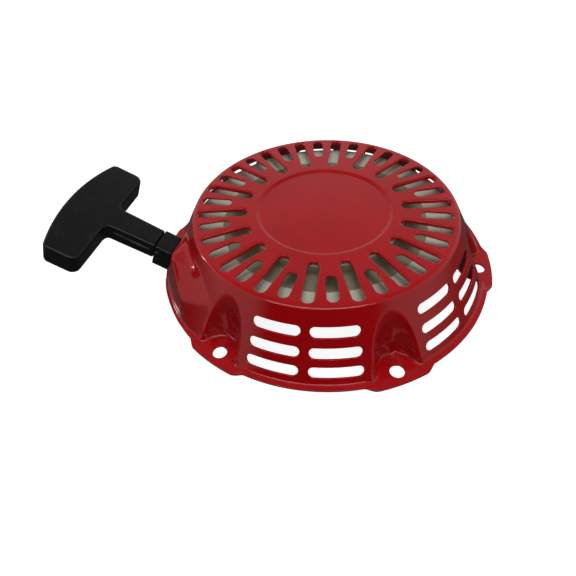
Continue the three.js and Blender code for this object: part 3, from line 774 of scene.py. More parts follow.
def lathe(name, profile, segments, edge):
    """A closed profile of (radius, height) turned about Z, with its corners rounded."""
    work = bmesh.new()
    rings = []
    for radius, z in rounded_outline(profile, edge):
        count = segments if radius > ON_AXIS else 1
        rings.append([work.verts.new(polar(radius, 360 * k / count, z) * MM) for k in range(count)])
    for upper, lower in zip(rings, rings[1:] + rings[:1]):
        if len(upper) == 1 and len(lower) == 1:
            continue
        for k in range(segments):
            corners = [row[n % len(row)] for row, n in (
                (upper, k), (upper, k + 1), (lower, k + 1), (lower, k))]
            work.faces.new(list(dict.fromkeys(corners)))
    return finished(name, work)


def rounded_outline(profile, edge):
    """The profile with each corner off the axis cut to a short arc."""
    outline = []
    for k, here in enumerate(map(Vector, profile)):
        if here.x < ON_AXIS:
            outline.append(here)
            continue
        before = Vector(profile[k - 1]) - here
        after = Vector(profile[(k + 1) % len(profile)]) - here
        reach = min(edge, before.length * 0.45, after.length * 0.45)
        start, end = here + before.normalized() * reach, here + after.normalized() * reach
        for share in (0, 0.25, 0.5, 0.75, 1):
            outline.append(start.lerp(here, share).lerp(here.lerp(end, share), share))
    return outline


def finished(name, work, angle=35):
    """A bmesh made into an object, outward and smooth except at sharp folds."""
    bmesh.ops.recalc_face_normals(work, faces=work.faces)
    for face in work.faces:
        face.smooth = True
    for edge in work.edges:
        if edge.is_manifold and edge.calc_face_angle(0) > math.radians(angle):
            edge.smooth = False
    mesh = bpy.data.meshes.new(name)
    work.to_mesh(mesh)
    work.free()
    piece = bpy.data.objects.new(name, mesh)
    bpy.context.scene.collection.objects.link(piece)
    return piece


def applied(piece):
    """The object with its modifiers made part of its mesh."""
    depsgraph = bpy.context.evaluated_depsgraph_get()
    mesh = bpy.data.meshes.new_from_object(piece.evaluated_get(depsgraph))
    piece.modifiers.clear()
    piece.data = mesh
    return piece


def plate(name, outlines, low, high, edge=0.2):
    """A flat plate from 2D outlines, holes among them, with softened edges."""
    curve = bpy.data.curves.new(name, "CURVE")
    curve.dimensions = "2D"
    curve.fill_mode = "BOTH"
    curve.extrude = ((high - low) / 2 - edge) * MM
    curve.bevel_depth = edge * MM
    curve.bevel_resolution = 2
    curve.offset = -edge * MM
    for outline in outlines:
        spline = curve.splines.new("POLY")
        spline.points.add(len(outline) - 1)
        for point, (x, y) in zip(spline.points, outline):
            point.co = (x * MM, y * MM, 0, 1)
        spline.use_cyclic_u = True
    source = bpy.data.objects.new(name + "_curve", curve)
    bpy.context.scene.collection.objects.link(source)
    depsgraph = bpy.context.evaluated_depsgraph_get()
    mesh = bpy.data.meshes.new_from_object(source.evaluated_get(depsgraph))
    bpy.data.objects.remove(source)
    work = bmesh.new()
    work.from_mesh(mesh)
    bmesh.ops.remove_doubles(work, verts=work.verts, dist=1e-6)
    bmesh.ops.translate(work, verts=work.verts, vec=(0, 0, (low + high) / 2 * MM))
    return finished(name, work, 50)


def arc(centre, radius, start, end, count):
    """Points along an arc, angles in degrees."""
    angles = np.radians(np.linspace(start, end, count))
    return [(centre[0] + radius * math.cos(a), centre[1] + radius * math.sin(a)) for a in angles]


def circle(radius, count):
    return arc((0, 0), radius, 0, 360 * (1 - 1 / count), count)


def carried(path, level=True):
    """Each point of a path with two directions across it, which turn as little as they can.

    The first one starts out level, unless the path rises steeply or level is False."""
    path = [Vector(point) for point in path]
    side = None
    for k, point in enumerate(path):
        ahead = (path[min(k + 1, len(path) - 1)] - path[max(k - 1, 0)]).normalized()
        if side is None:
            side = ahead.cross((0, 0, 1)) if level and abs(ahead.z) < 0.9 else ahead.orthogonal()
            side.normalize()
        side = (side - ahead * side.dot(ahead)).normalized()
        yield point, side, side.cross(ahead).normalized()


def skin(work, rings):
    """Faces between each ring of vertices and the next."""
    for upper, lower in zip(rings, rings[1:]):
        for k in range(len(upper)):
            after = (k + 1) % len(upper)
            work.faces.new((upper[k], upper[after], lower[after], lower[k]))


def swept(name, path, section):
    """A section of (side, up) offsets carried along a path of points."""
    work = bmesh.new()
    rings = [[work.verts.new((point + side * a + up * b) * MM) for a, b in section]
             for point, side, up in carried(path)]
    skin(work, rings)
    work.faces.new(rings[0])
    work.faces.new(rings[-1][::-1])
    return finished(name, work, 50)


# ---------------------------------------------------------------- materials

def feed(look, node, inputs):
    """Sets a node's sockets, or links them where the value is another node's output."""
    for name, value in inputs.items():
        socket = node.inputs[name]
        if isinstance(value, bpy.types.NodeSocket):
            look.node_tree.links.new(value, socket)
        else:
            socket.default_value = (*value, 1) if socket.type == "RGBA" else value
    return node


def add_node(look, kind, inputs, **settings):
    """A new node in a material or world."""
    node = look.node_tree.nodes.new("ShaderNode" + kind)
    for key, value in settings.items():
        setattr(node, key, value)
    return feed(look, node, inputs)


def new_material(name, color, roughness, metallic=0.0, **sockets):
    look = bpy.data.materials.new(name)
    look.use_nodes = True
    named = {socket.replace("_", " "): value for socket, value in sockets.items()}
    feed(look, look.node_tree.nodes["Principled BSDF"], {
        "Base Color": color, "Roughness": roughness, "Metallic": metallic, **named})
    return look


def mapped(look, vector, scale=(1, 1, 1), rotation=(0, 0, 0)):
    inputs = {"Vector": vector, "Scale": scale, "Rotation": rotation}
    return add_node(look, "Mapping", inputs).outputs["Vector"]


def position(look, scale=(1, 1, 1), rotation=(0, 0, 0)):
    """Object coordinates, scaled and turned."""
    return mapped(look, add_node(look, "TexCoord", {}).outputs["Object"], scale, rotation)


def noise(look, vector, scale, detail=3.0, roughness=0.5):
    inputs = {"Vector": vector, "Scale": scale, "Detail": detail, "Roughness": roughness}
    return add_node(look, "TexNoise", inputs).outputs["Fac"]


def wave(look, vector, scale, distortion, **settings):
    inputs = {"Vector": vector, "Scale": scale, "Distortion": distortion}
    return add_node(look, "TexWave", inputs, **settings).outputs["Fac"]


def ramp(look, value, low, high, start, end, **settings):
    """A value in low..high turned into start..end."""
    inputs = {"Value": value, "From Min": low, "From Max": high, "To Min": start, "To Max": end}
    return add_node(look, "MapRange", inputs, **settings).outputs["Result"]


def mixed(look, factor, first, second):
    return add_node(look, "MixRGB", {"Fac": factor, "Color1": first, "Color2": second}).outputs["Color"]


def tone(look, value, low, high, first, second):
    """The first colour where a value is at low, turning into the second at high."""
    return mixed(look, ramp(look, value, low, high, 0, 1), first, second)


def reckoned(look, operation, *values):
    return add_node(look, "Math", dict(enumerate(values)), operation=operation).outputs["Value"]


def sum_of(look, first, second, weight):
    return reckoned(look, "MULTIPLY_ADD", second, weight, first)


def dress(look, color, roughness, height, strength, distance):
    """Gives the shader its colour and roughness, and a bump of a strength and depth in metres."""
    shader = look.node_tree.nodes["Principled BSDF"]
    inputs = {"Strength": strength, "Distance": distance, "Height": height}
    bump = add_node(look, "Bump", inputs).outputs["Normal"]
    feed(look, shader, {"Base Color": color, "Roughness": roughness, "Normal": bump})
    if shader.inputs["Coat Weight"].default_value > 0:
        feed(look, shader, {"Coat Normal": bump})
    return look


def red_paint():
    """Gloss enamel on a stamping: faint orange peel, a little mottling, and drawn metal's ripples."""
    look = new_material("red_paint", (0.36, 0.002, 0.004), 0.3, Coat_Weight=1.0, Coat_Roughness=0.05,
                        Coat_IOR=1.5, Specular_IOR_Level=0.1)
    place = position(look)
    color = tone(look, noise(look, place, 28, 2), 0.3, 0.7, (0.33, 0.0015, 0.003), (0.39, 0.003, 0.006))
    height = sum_of(look, noise(look, place, 900, 2), noise(look, place, 95, 2), 2.2)
    rough = ramp(look, noise(look, place, 160, 4), 0.3, 0.75, 0.17, 0.30)
    return dress(look, color, rough, height, 0.10, 0.00012)


def black_plastic():
    """Moulded black plastic with a fine spark-eroded grain and scuffs from handling."""
    look = new_material("black_plastic", (0.007, 0.007, 0.008), 0.4, Specular_IOR_Level=0.4)
    grain = noise(look, position(look), 5200, 3, 0.6)
    scuff = noise(look, position(look, (1, 1, 4), (0.4, 0.2, 0.9)), 120, 5, 0.65)
    color = tone(look, scuff, 0.58, 0.72, (0.006, 0.006, 0.007), (0.013, 0.013, 0.014))
    rough = ramp(look, scuff, 0.35, 0.7, 0.27, 0.42)
    return dress(look, color, rough, sum_of(look, grain, scuff, 0.6), 0.22, 0.00006)


def nylon():
    """Natural nylon, greyer inside the reel's raised rim as painted shade from the case's top: flow marks, dust
    and a faint mould texture.
    """
    look = new_material("nylon", (0.40, 0.37, 0.26), 0.45, Subsurface_Weight=0.05)
    place = position(look)
    flow = noise(look, position(look, (1, 1, 3)), 60, 5, 0.6)
    # painted shade and light: inside the raised rim the nylon is coloured darker, for the shade under the case's
    # top; outside the rim it is coloured lighter where the light falls on it
    painted_shade_inside_rim = tone(look, flow, 0.3, 0.7, (0.17, 0.155, 0.10), (0.25, 0.23, 0.155))
    lit_outer_tone = tone(look, flow, 0.3, 0.7, (0.44, 0.43, 0.34), (0.56, 0.55, 0.45))
    level = add_node(look, "VectorMath", {0: place, 1: (1, 1, 0)}, operation="MULTIPLY").outputs["Vector"]
    radius = add_node(look, "VectorMath", {0: level}, operation="LENGTH").outputs["Value"]
    step = (REEL.rim_inner - 0.4) * MM
    color = tone(look, radius, step, step + 0.8 * MM, painted_shade_inside_rim, lit_outer_tone)
    specks = ramp(look, noise(look, place, 700, 2), 0.68, 0.76, 0, 0.5)
    color = mixed(look, specks, color, (0.62, 0.60, 0.50))
    rough = ramp(look, flow, 0.3, 0.7, 0.38, 0.55)
    return dress(look, color, rough, noise(look, place, 2600, 3), 0.2, 0.00005)


def plated(name, color, dark, roughness, turned=True):
    """Plated or blued steel with fine lathe or roll marks and small stains."""
    look = new_material(name, color, roughness, 1.0)
    place = position(look)
    if turned:
        marks = wave(look, place, 900, 1.5, wave_type="RINGS", rings_direction="Z")
    else:
        marks = noise(look, position(look, (1, 1, 12)), 900, 3)
    stain = noise(look, place, 240, 5, 0.65)
    rough = ramp(look, stain, 0.3, 0.7, roughness - 0.06, roughness + 0.16)
    return dress(look, tone(look, stain, 0.35, 0.7, color, dark), rough, marks, 0.12, 0.00004)


def braided_rope():
    """White braid: crossing strands run along the pull, with fibres, and painted shade that greys the valleys
    between the strands.
    """
    look = new_material("rope", (0.70, 0.68, 0.61), 0.85, Sheen_Weight=0.3)
    place = position(look, rotation=tuple(PULL.to_track_quat("X", "Z").inverted().to_euler()))
    strands = [
        wave(look, mapped(look, place, rotation=(0, 0, lean)), 330, 0.4,
             wave_type="BANDS", bands_direction="X")
        for lean in (0.72, -0.72)]
    crossing = reckoned(look, "MAXIMUM", *strands)
    fibre = noise(look, position(look), 3500, 3)
    # painted shade: the braid is coloured grey in the valleys between the raised strands
    color = tone(look, crossing, 0.3, 0.9, (0.42, 0.40, 0.35), (0.74, 0.72, 0.66))
    return dress(look, color, 0.85, sum_of(look, crossing, fibre, 0.3), 0.6, 0.0003)


MATERIALS = {
    "red_paint": red_paint(),
    "black_plastic": black_plastic(),
    "nylon": nylon(),
    "rope": braided_rope(),
    "zinc_steel": plated("zinc_steel", (0.60, 0.60, 0.58), (0.46, 0.45, 0.42), 0.30),
    "pawl_steel": plated("pawl_steel", (0.26, 0.26, 0.27), (0.15, 0.14, 0.14), 0.36, turned=False),
    "spring_steel": plated("spring_steel", (0.13, 0.14, 0.17), (0.09, 0.085, 0.09), 0.28, turned=False),
}


def fit(piece, body, slot, *nodes):
    """Gives a piece its material, the body it rides on and the CAD nodes it stands for."""
    piece.data.materials.clear()
    piece.data.materials.append(MATERIALS[slot])
    if nodes:
        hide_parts(*nodes)
    if body:
        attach(piece, body)
    return piece


def dress_cad_nodes():
    """The CAD pieces that stay keep their shape and take the finished materials."""
    slots = {part["node"]: part["material_slot"] for part in frame["record"]["subparts"]}
    for name, node in frame["nodes"].items():
        node.data.materials.clear()
        node.data.materials.append(MATERIALS[slots[name]])


# ---------------------------------------------------------------- the works inside

PAWL_PIVOT, PAWL_PIN, PAWL_BORE, PAWL_EYE = 21.0, 2.5, 2.9, 4.5
PAWL_AZIMUTHS = (0, 180)
PAWL_LOW, PAWL_HIGH = 9.2, 12.8
PAWL_REST, PAWL_SWING = -84.2, 25.0
NIB_REACH, NIB_RADIUS, NIB_LOW = 8.0, 1.3, 6.7
PLATE_LOW, PLATE_HIGH, PLATE_RADIUS, PLATE_BORE, PLATE_TURN = 7.4, 8.8, 27.5, 3.6, 20.0
KNOT_CENTRE, KNOT_AZIMUTH, LEAD_HEIGHT = 23.6, 90.0, 17.5
KNOT_POCKET_END = 22.1
REEL_POCKET_RADIUS, REEL_ROPE_BORE = 4.7, 2.55
SPRING_POCKET_RADIUS, SPRING_POCKET_DEPTH, SPRING_RADIUS = 5.0, 2.6, 3.4
GRIP_KNOT = 50.0


def round_cutter(radius, low, high, place):
    bpy.ops.mesh.primitive_cylinder_add(vertices=48, radius=radius * MM, depth=(high - low) * MM)
    bpy.context.object.matrix_world = place @ Matrix.Translation((0, 0, (low + high) / 2 * MM))
    return bpy.context.object


def box_cutter(size, centre, place):
    bpy.ops.mesh.primitive_cube_add(size=1)
    scale = Matrix.Diagonal((*(length * MM for length in size), 1))
    bpy.context.object.matrix_world = place @ Matrix.Translation(Vector(centre) * MM) @ scale
    return bpy.context.object


def carved(piece, cutters):
    """The piece with every cutter taken out of it."""
    for cutter in cutters:
        cut = piece.modifiers.new("cut", "BOOLEAN")
        cut.object = cutter
        cut.solver = "EXACT"
    bpy.context.view_layer.update()
    applied(piece)
    for cutter in cutters:
        bpy.data.objects.remove(cutter)
    return piece


def sharpened(piece):
    """The piece with corners that nearly meet merged, and sharp at its folds."""
    work = bmesh.new()
    work.from_mesh(piece.data)
    bmesh.ops.remove_doubles(work, verts=work.verts, dist=2e-6)
    name = piece.name
    bpy.data.objects.remove(piece)
    return finished(name, work, 32)


def placed(degrees, radius=0, z=0.0):
    """A place at a distance from the spin axis, turned to face outwards."""
    turn = Matrix.Rotation(math.radians(degrees), 4, "Z")
    return turn @ Matrix.Translation((radius * MM, 0, z * MM))


def make_reel():
    r = REEL
    profile = [
        (r.bore, r.hub_low), (r.hub, r.hub_low), (r.hub, r.bottom), (r.flange, r.bottom),
        (r.flange, r.groove_low), (r.groove, r.groove_low), (r.groove, r.groove_top),
        (r.drum_outer, r.groove_top), (r.drum_outer, r.disc_low), (r.skirt_inner, r.disc_low),
        (r.skirt_inner, r.skirt_low), (r.rim, r.skirt_low), (r.rim, r.rim_top),
        (r.rim_inner, r.rim_top), (r.rim_inner, r.disc_top), (r.drum_outer, r.disc_top),
        (r.drum_outer, r.top), (r.drum_inner, r.top), (r.drum_inner, r.drum_floor),
        (r.bore, r.drum_floor)]
    cutters = []
    for azimuth in PAWL_AZIMUTHS:
        place = placed(azimuth, PAWL_PIVOT)
        roof = r.bottom + SPRING_POCKET_DEPTH
        cutters.append(round_cutter(SPRING_POCKET_RADIUS, r.bottom - 1, roof, place))
        cutters.append(box_cutter((3, 10, 3.6), (3.5, -6, r.bottom + 0.8), place))
    place = placed(KNOT_AZIMUTH, KNOT_CENTRE)
    cutters.append(round_cutter(REEL_POCKET_RADIUS, r.bottom - 1, KNOT_POCKET_END, place))
    rope_way = placed(KNOT_AZIMUTH, 0, LEAD_HEIGHT) @ Matrix.Rotation(math.pi / 2, 4, "Y")
    cutters.append(round_cutter(REEL_ROPE_BORE, KNOT_CENTRE, r.groove + 2, rope_way))
    reel = carved(lathe("rope_reel", profile, 180, 0.45), cutters)
    fit(sharpened(reel), "reel", "nylon", "reel")
    for number, azimuth in enumerate(PAWL_AZIMUTHS, 1):
        pin = lathe(f"pawl_pin_{number}", rod(PAWL_PIN, PAWL_LOW + 0.2, r.bottom + 2.7), 48, 0.4)
        fit(moved(pin, placed(azimuth, PAWL_PIVOT)), "reel", "nylon")


def moved(piece, matrix):
    """Moves the mesh itself, so that the object stays at the origin."""
    piece.data.transform(matrix)
    return piece


def hexagon_head(name, radius, low, high):
    """A hexagon with its corners chamfered away underneath."""
    work = bmesh.new()
    chamfer = 0.7
    face = radius * math.cos(math.pi / 6) * 0.97
    rings = [[work.verts.new(polar(size, 60 * k, z) * MM) for k in range(6)]
             for size, z in ((face, low), (radius, low + chamfer), (radius, high))]
    work.faces.new(rings[0])
    work.faces.new(rings[-1])
    skin(work, rings)
    piece = finished(name, work, 20)
    bevel = piece.modifiers.new("bevel", "BEVEL")
    bevel.width = 0.18 * MM
    bevel.segments = 3
    return applied(piece)


def make_centre():
    """The post under the case's top and what is stacked below it: washer, screw and spring."""
    top = CASE_HEIGHT - SHEET - RECESS_DEPTH - 0.3
    post = [(3.3, 10.5), (8, 10.5), (8, 26.9), (10, 26.9), (10, top), (0, top), (0, 24.5), (3.3, 24.5)]
    fit(lathe("spindle_post", post, 96, 0.4), "housing", "zinc_steel", "centre_post")
    washer = lathe("stack_washer", ring(3.6, 11, 9.1, 10.2), 96, 0.25)
    fit(washer, "housing", "zinc_steel", "thrust_washer")
    fit(hexagon_head("screw_hexagon", 5.8, 2.2, 4.0), "housing", "zinc_steel", "centre_screw")
    shank = [(0, 3.8), (7.5, 3.8), (7.5, 4.6), (3.0, 4.6), (3.0, 10.6)]
    shank += [(3.0 - 0.45 * (k % 2), 10.6 + 0.5 * k) for k in range(1, 24)]
    shank += [(2.4, 22.5), (0, 22.5)]
    fit(lathe("screw_shank", shank, 72, 0.15), "housing", "zinc_steel")
    spring = swept("friction_coil", helix(5.2, 5.3, 1.4, 1.75, 0, 96), circle(0.35, 12))
    fit(spring, "housing", "spring_steel", "friction_spring")


def helix(radius, low, rise, turns, start, steps):
    """Points round the spin axis, rising from low."""
    return [polar(radius, start + 360 * turns * share, low + rise * share)
            for share in np.arange(steps + 1) / steps]


SLOT_CLEARANCE = 0.5


def nib_at(swing):
    angle = math.radians(PAWL_REST + swing)
    return Vector((PAWL_PIVOT + NIB_REACH * math.cos(angle), NIB_REACH * math.sin(angle)))


def slot_outline(azimuth):
    """The curved slot in which one pawl's nib runs, open through the plate's rim at its end."""
    half = NIB_RADIUS + SLOT_CLEARANCE
    steps, spare = 12, 2
    path = []
    for share in np.arange(-spare, steps + spare + 1) / steps:
        turn = Matrix.Rotation(math.radians(azimuth - share * PLATE_TURN), 2)
        path.append(turn @ nib_at(share * PAWL_SWING))
    left, right = [], []
    for k, point in enumerate(path):
        ahead = (path[min(k + 1, len(path) - 1)] - path[max(k - 1, 0)]).normalized()
        side = Vector((-ahead.y, ahead.x)) * half
        left.append(point + side)
        right.append(point - side)
    ends = []
    for tip, before in ((path[0], path[1]), (path[-1], path[-2])):
        outward = math.degrees(math.atan2(*(tip - before).yx))
        ends.append(arc(tip, half, outward - 80, outward + 80, 12))
    return [*left[::-1], *ends[0], *right, *ends[1]]


def make_clutch():
    rims = [circle(PLATE_RADIUS, 144), circle(PLATE_BORE, 48)]
    disc = plate("clutch_plate", rims, PLATE_LOW, PLATE_HIGH)
    slots = [plate("slot", [slot_outline(azimuth)], PLATE_LOW - 1, PLATE_HIGH + 1, 0)
             for azimuth in PAWL_AZIMUTHS]
    fit(carved(disc, slots), "guide_plate", "zinc_steel", "guide_plate")
    arm = arc((0, 0), PAWL_EYE, 62, 262, 40)
    arm += [(13.5, -2.4), (15, -1.6), (15, 1.8), (12, 2.6)]
    for number, azimuth in enumerate(PAWL_AZIMUTHS, 1):
        place = placed(azimuth, PAWL_PIVOT)
        body = plate(f"drive_pawl_{number}", [arm, circle(PAWL_BORE, 40)], PAWL_LOW, PAWL_HIGH, 0.3)
        fit(moved(body, place @ placed(PAWL_REST)), f"pawl_{number}", "pawl_steel", f"pawl_{number}")
        nib = lathe(f"pawl_nib_{number}", rod(NIB_RADIUS, NIB_LOW, PAWL_LOW + 0.2), 32, 0.25)
        fit(moved(nib, place @ placed(PAWL_REST, NIB_REACH)), f"pawl_{number}", "pawl_steel")
        turns = 2.25
        coil = helix(SPRING_RADIUS, REEL.bottom + 0.8, 0.85, turns, -360 * turns, 90)
        leg = [Vector((SPRING_RADIUS, y, coil[-1].z)) for y in (-9.6, -5, -1)]
        wire = swept(f"return_spring_{number}", leg + coil[::-1], circle(0.36, 12))
        fit(moved(wire, place), "reel", "spring_steel", f"pawl_spring_{number}")


def make_mainspring():
    """A flat strip: open turns from the post, then close turns against the drum's wall."""
    inner, knee, outer = 10.9, 30.6, 39.5
    open_turns, close_turns, steps = 2.5, 9, 64
    path = []
    for k in range(int((open_turns + close_turns) * steps) + 1):
        wound = k / steps
        if wound < open_turns:
            radius = inner + (knee - inner) * wound / open_turns
        else:
            radius = knee + (outer - knee) * (wound - open_turns) / close_turns
        path.append(polar(radius, 360 * wound, 30.25))
    section = [(-0.28, -3.15), (-0.2, -3.23), (0.2, -3.23), (0.28, -3.15),
               (0.28, 3.15), (0.2, 3.23), (-0.2, 3.23), (-0.28, 3.15)]
    fit(swept("rewind_strip", path, section), "reel", "spring_steel", "mainspring")


# ---------------------------------------------------------------- rope

STRANDS, STRAND_RISE = 8, 0.09          # eight strands wind each way, raised above the valleys
ROPE_BEND = 25.0
WOUND_INNER, WOUND_OUTER, WOUND_CLEAR = 32.15, 35.85, 38.8
WOUND_LOW, WOUND_HIGH = 17.4, 22.3
FINE_START, FINE_END, ROPE_END = -1.5, 41.0, 46.6
BLEND_START, BLEND_END = 0.5, 36


def rope_tube(name, path, radius, twist=1.6, around=32, caps=True):
    """A braided tube along a path: raised strands that cross, with their twist in radians a millimetre."""
    path = [Vector(point) for point in path]
    work = bmesh.new()
    travelled, rings = 0.0, []
    for before, (point, side, up) in zip([path[0], *path], carried(path, level=False)):
        travelled += (point - before).length
        row = []
        for step in range(around):
            angle, lean = 2 * math.pi * step / around, travelled * twist
            weave = math.cos(STRANDS * angle + lean) + math.cos(STRANDS * angle - lean) - 2
            spoke = math.cos(angle) * side + math.sin(angle) * up
            row.append(work.verts.new((point + spoke * (radius + STRAND_RISE * weave)) * MM))
        rings.append(row)
    skin(work, rings)
    for row, way in ((rings[0], 1), (rings[-1], -1)):
        if caps:
            tip = work.verts.new(sum((vertex.co for vertex in row), Vector()) / around)
            for k in range(around):
                work.faces.new((row[k], row[(k + 1) % around], tip)[::way])
    return finished(name, work, 80)


def spaced(points, pitch):
    """The path with points an even pitch apart."""
    points = np.array([tuple(point) for point in points])
    reached = np.concatenate([[0], np.cumsum(np.linalg.norm(np.diff(points, axis=0), axis=1))])
    wanted = np.linspace(0, reached[-1], int(reached[-1] / pitch) + 2)
    return [Vector(point) for point in zip(*(np.interp(wanted, reached, axis) for axis in points.T))]


def on_rope(u):
    """A point on the straight part of the rope, at a distance out from the rope hole."""
    return at_outlet(u, 0, ROPE_LINE)


def lead_path():
    """From the reel's tangent point level to the outlet, then bent up along the pull."""
    level = Vector((PULL.x, PULL.y, 0)).normalized()
    end = on_rope(GRIP_START)
    corner = end + PULL * ((LEAD_HEIGHT - end.z) / PULL.z)
    pitch, steps = math.asin(PULL.z), 8
    bend_start = corner - level * ROPE_BEND * math.tan(pitch / 2)
    start = bend_start - level * bend_start.dot(level)
    path = [start.lerp(bend_start, k / steps) for k in range(steps)]
    for k in range(steps + 1):
        angle = pitch * k / steps
        rise = Vector((0, 0, 1 - math.cos(angle)))
        path.append(bend_start + (level * math.sin(angle) + rise) * ROPE_BEND)
    return path


def wound_path():
    """Two turns in the reel's groove, a step out, and nearly two more turns back down round them."""
    turn, climb, last = 96, 16, 176
    steps = [(WOUND_HIGH - WOUND_LOW) * min(1, max(0, (k - 70) / 40)) for k in range(2 * turn)]
    places = [(WOUND_INNER, WOUND_LOW + step) for step in steps]
    places += [(WOUND_INNER + (WOUND_OUTER - WOUND_INNER) * k / climb, WOUND_HIGH) for k in range(climb)]
    places += [(WOUND_OUTER, WOUND_HIGH - step) for step in steps[:last]]
    return [polar(radius, KNOT_AZIMUTH + 360 * k / turn, z) for k, (radius, z) in enumerate(places)]


def make_rope():
    """The rope from the reel out to the handle, the wound turns, and what holds the ends."""
    # it starts clear of the wound turns, and has close rings along its straight part
    clear = [point for point in lead_path() if math.hypot(point.x, point.y) > WOUND_CLEAR]
    path = spaced([*clear, on_rope(FINE_START)], 1.4)
    path += [on_rope(FINE_START + (FINE_END - FINE_START) * k / 420) for k in range(1, 421)]
    rope = rope_tube("pull_rope", [*path, on_rope(ROPE_END)], ROPE_RADIUS)
    fit(rope, None, "rope", "rope_lead", "rope_tail")
    start, end = on_rope(BLEND_START) * MM, on_rope(BLEND_END) * MM
    tuple(start)
    tuple(end)
    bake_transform(rope)
    coil = rope_tube("wound_rope", spaced(wound_path(), 1.0), 2.2, 1.6, 24)
    fit(coil, "reel", "rope", "rope_coil")
    knot = moved(overhand_knot("reel_end_knot"), placed(KNOT_AZIMUTH, KNOT_CENTRE, LEAD_HEIGHT))
    fit(knot, "reel", "rope", "reel_knot")
    ends = [polar(radius, KNOT_AZIMUTH, LEAD_HEIGHT) for radius in (KNOT_CENTRE, 29.3)]
    fit(rope_tube("reel_stub", spaced(ends, 0.5), 2.1), "reel", "rope")
    axes = Matrix((PULL, OUTLET_SIDE, OUTLET_UP)).transposed().to_4x4()
    knot = moved(overhand_knot("handle_end_knot"), Matrix.Translation(on_rope(GRIP_KNOT) * MM) @ axes)
    fit(knot, "handle", "rope", "grip_knot")
    retainer = lathe("knot_washer", ring(2.55, 4.4, 44.3, 45.5), 64, 0.2)
    stand = Matrix((OUTLET_SIDE, OUTLET_UP, PULL)).transposed().to_4x4()
    moved(retainer, Matrix.Translation(on_rope(0) * MM) @ stand)
    fit(retainer, "handle", "zinc_steel", "rope_retainer")


def overhand_knot(name):
    """A drawn-up overhand knot about the origin, its axis along X."""
    size, radius, steps = 2.55, 1.6, 180
    path = []
    for k in range(steps + 1):
        t = 2 * math.pi * k / steps
        reach = 1.2 * 0.62 * size * (1 + 0.55 * math.cos(3 * t))
        path.append(Vector((1.55 * math.sin(3 * t), reach * math.cos(2 * t), reach * math.sin(2 * t))))
    return rope_tube(name, spaced(path, 0.45), radius, 2.0, 20, caps=False)


# ---------------------------------------------------------------- seen pieces

def make_case():
    points, normals, faces = case_mesh()
    fit(mesh_object("case_pressing", points, faces, normals), "housing", "red_paint", "case")


def make_outlet_pieces():
    low = (GRIP_START, -BAR_HALF_LENGTH, BAR_BOTTOM)
    high = (BAR_OUTER, BAR_HALF_LENGTH, BAR_TOP)
    grip = outlet_object("pull_handle", grip_distance, low, high, 0.62)
    fit(grip, "handle", "black_plastic", "grip")
    low = (SPIGOT_END, -GUIDE_HALF_WIDTH, GUIDE_LOW)
    high = (GUIDE_LENGTH, GUIDE_HALF_WIDTH, GUIDE_HIGH)
    guide = outlet_object("outlet_bush", guide_distance, low, high, 0.42)
    fit(guide, "housing", "black_plastic", "rope_guide")


# ---------------------------------------------------------------- camera, light and floor

CAMERA_PLACE = (0.02345, -0.21616, 0.20391)
CAMERA_TURN, CAMERA_DOWN, CAMERA_ROLL = 12.0917, 46.514, -3.868         # degrees
CAMERA_SENSOR, CAMERA_LENS = 36, 31.32


def make_camera():
    """The camera stands where the photograph was taken from."""
    data = bpy.data.cameras.new("camera")
    data.sensor_width = CAMERA_SENSOR
    data.lens = CAMERA_LENS
    data.clip_start = 0.01
    camera = bpy.data.objects.new("camera", data)
    camera.matrix_world = Matrix.Translation(CAMERA_PLACE)
    for degrees, axis in ((CAMERA_TURN, "Z"), (90 - CAMERA_DOWN, "X"), (CAMERA_ROLL, "Z")):
        camera.matrix_world = camera.matrix_world @ Matrix.Rotation(math.radians(degrees), 4, axis)
    bpy.context.scene.collection.objects.link(camera)
    bpy.context.scene.camera = camera


FRONT = (0.10, -0.97, 0.16)
FLOOR_GLOW, ROOM_LIGHT, BACKDROP_LIGHT = 0.88, 0.42, 0.9


def make_floor():
    """A white floor, seen by the camera only: the studio's own light takes its place in reflections."""
    bpy.ops.mesh.primitive_plane_add(size=6, location=(0, 0, -0.0006))
    floor = bpy.context.object
    floor.name = "floor"
    floor.data.materials.append(new_material(
        "floor", (0.45, 0.45, 0.45), 0.9,
        Specular_IOR_Level=0.0, Emission_Color=(1, 1, 1), Emission_Strength=FLOOR_GLOW))
    floor.visible_diffuse = False
    floor.visible_glossy = False


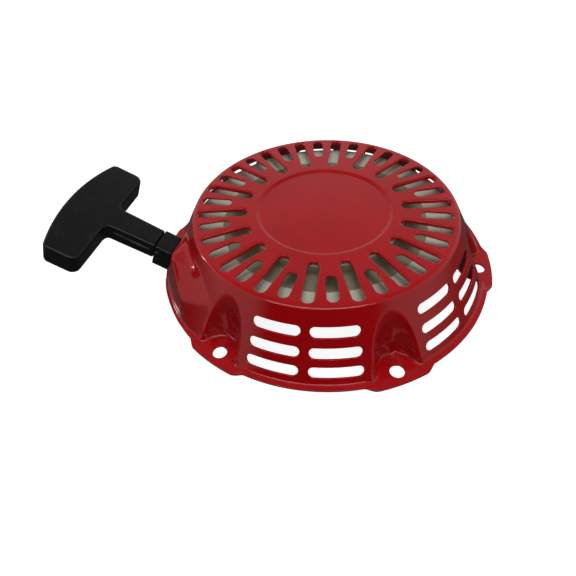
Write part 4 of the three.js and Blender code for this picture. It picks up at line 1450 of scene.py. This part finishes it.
def area_light(name, towards, distance, size, power, in_reflections=True):
    """A soft box that faces the object from the given direction."""
    data = bpy.data.lights.new(name, "AREA")
    data.shape = "RECTANGLE"
    data.size, data.size_y = size
    data.energy = power
    light = bpy.data.objects.new(name, data)
    place = Vector(towards).normalized() * distance
    light.location = place
    light.rotation_euler = (-place).to_track_quat("-Z", "Y").to_euler()
    light.visible_glossy = in_reflections
    bpy.context.scene.collection.objects.link(light)


def make_studio():
    """A pale room that is dark towards the front, overhead and low down, with soft boxes."""
    world = bpy.data.worlds.new("studio")
    bpy.context.scene.world = world
    world.use_nodes = True
    direction = add_node(world, "TexCoord", {}).outputs["Generated"]
    inputs = {0: direction, 1: Vector(FRONT).normalized()}
    aim = add_node(world, "VectorMath", inputs, operation="DOT_PRODUCT")
    height = add_node(world, "SeparateXYZ", {"Vector": direction}).outputs["Z"]
    room = ROOM_LIGHT
    for value, low, high, start, end in (
            (aim.outputs["Value"], 0.62, 0.82, 1.0, 0.02), (height, 0.45, 0.92, 1.0, 0.2),
            (height, -0.26, -0.04, 0.12, 1.0)):
        dark = ramp(world, value, low, high, start, end, interpolation_type="SMOOTHSTEP")
        room = reckoned(world, "MULTIPLY", room, dark)
    camera_ray = add_node(world, "LightPath", {}).outputs["Is Camera Ray"]
    seen = reckoned(world, "MULTIPLY", camera_ray, BACKDROP_LIGHT)
    strength = reckoned(world, "MAXIMUM", room, seen)
    feed(world, world.node_tree.nodes["Background"], {"Color": (1, 1, 1), "Strength": strength})
    area_light("overhead", (0.05, 0.05, 0.9), 0.9, (0.8, 0.6), 4.8, False)
    area_light("fill", (0.0, -0.78, 0.80), 1.1, (1.3, 0.2), 2.6)
    area_light("left", (-0.95, 0.1, 0.27), 0.9, (0.05, 0.3), 0.5)
    area_light("front_strip", (0.1, -0.83, 0.556), 1.1, (1.5, 0.03), 1.6)
    bpy.context.scene.view_settings.view_transform = "Standard"


make_camera()
make_floor()
make_studio()
dress_cad_nodes()
make_case()
make_outlet_pieces()
make_reel()
make_centre()
make_clutch()
make_mainspring()
make_rope()
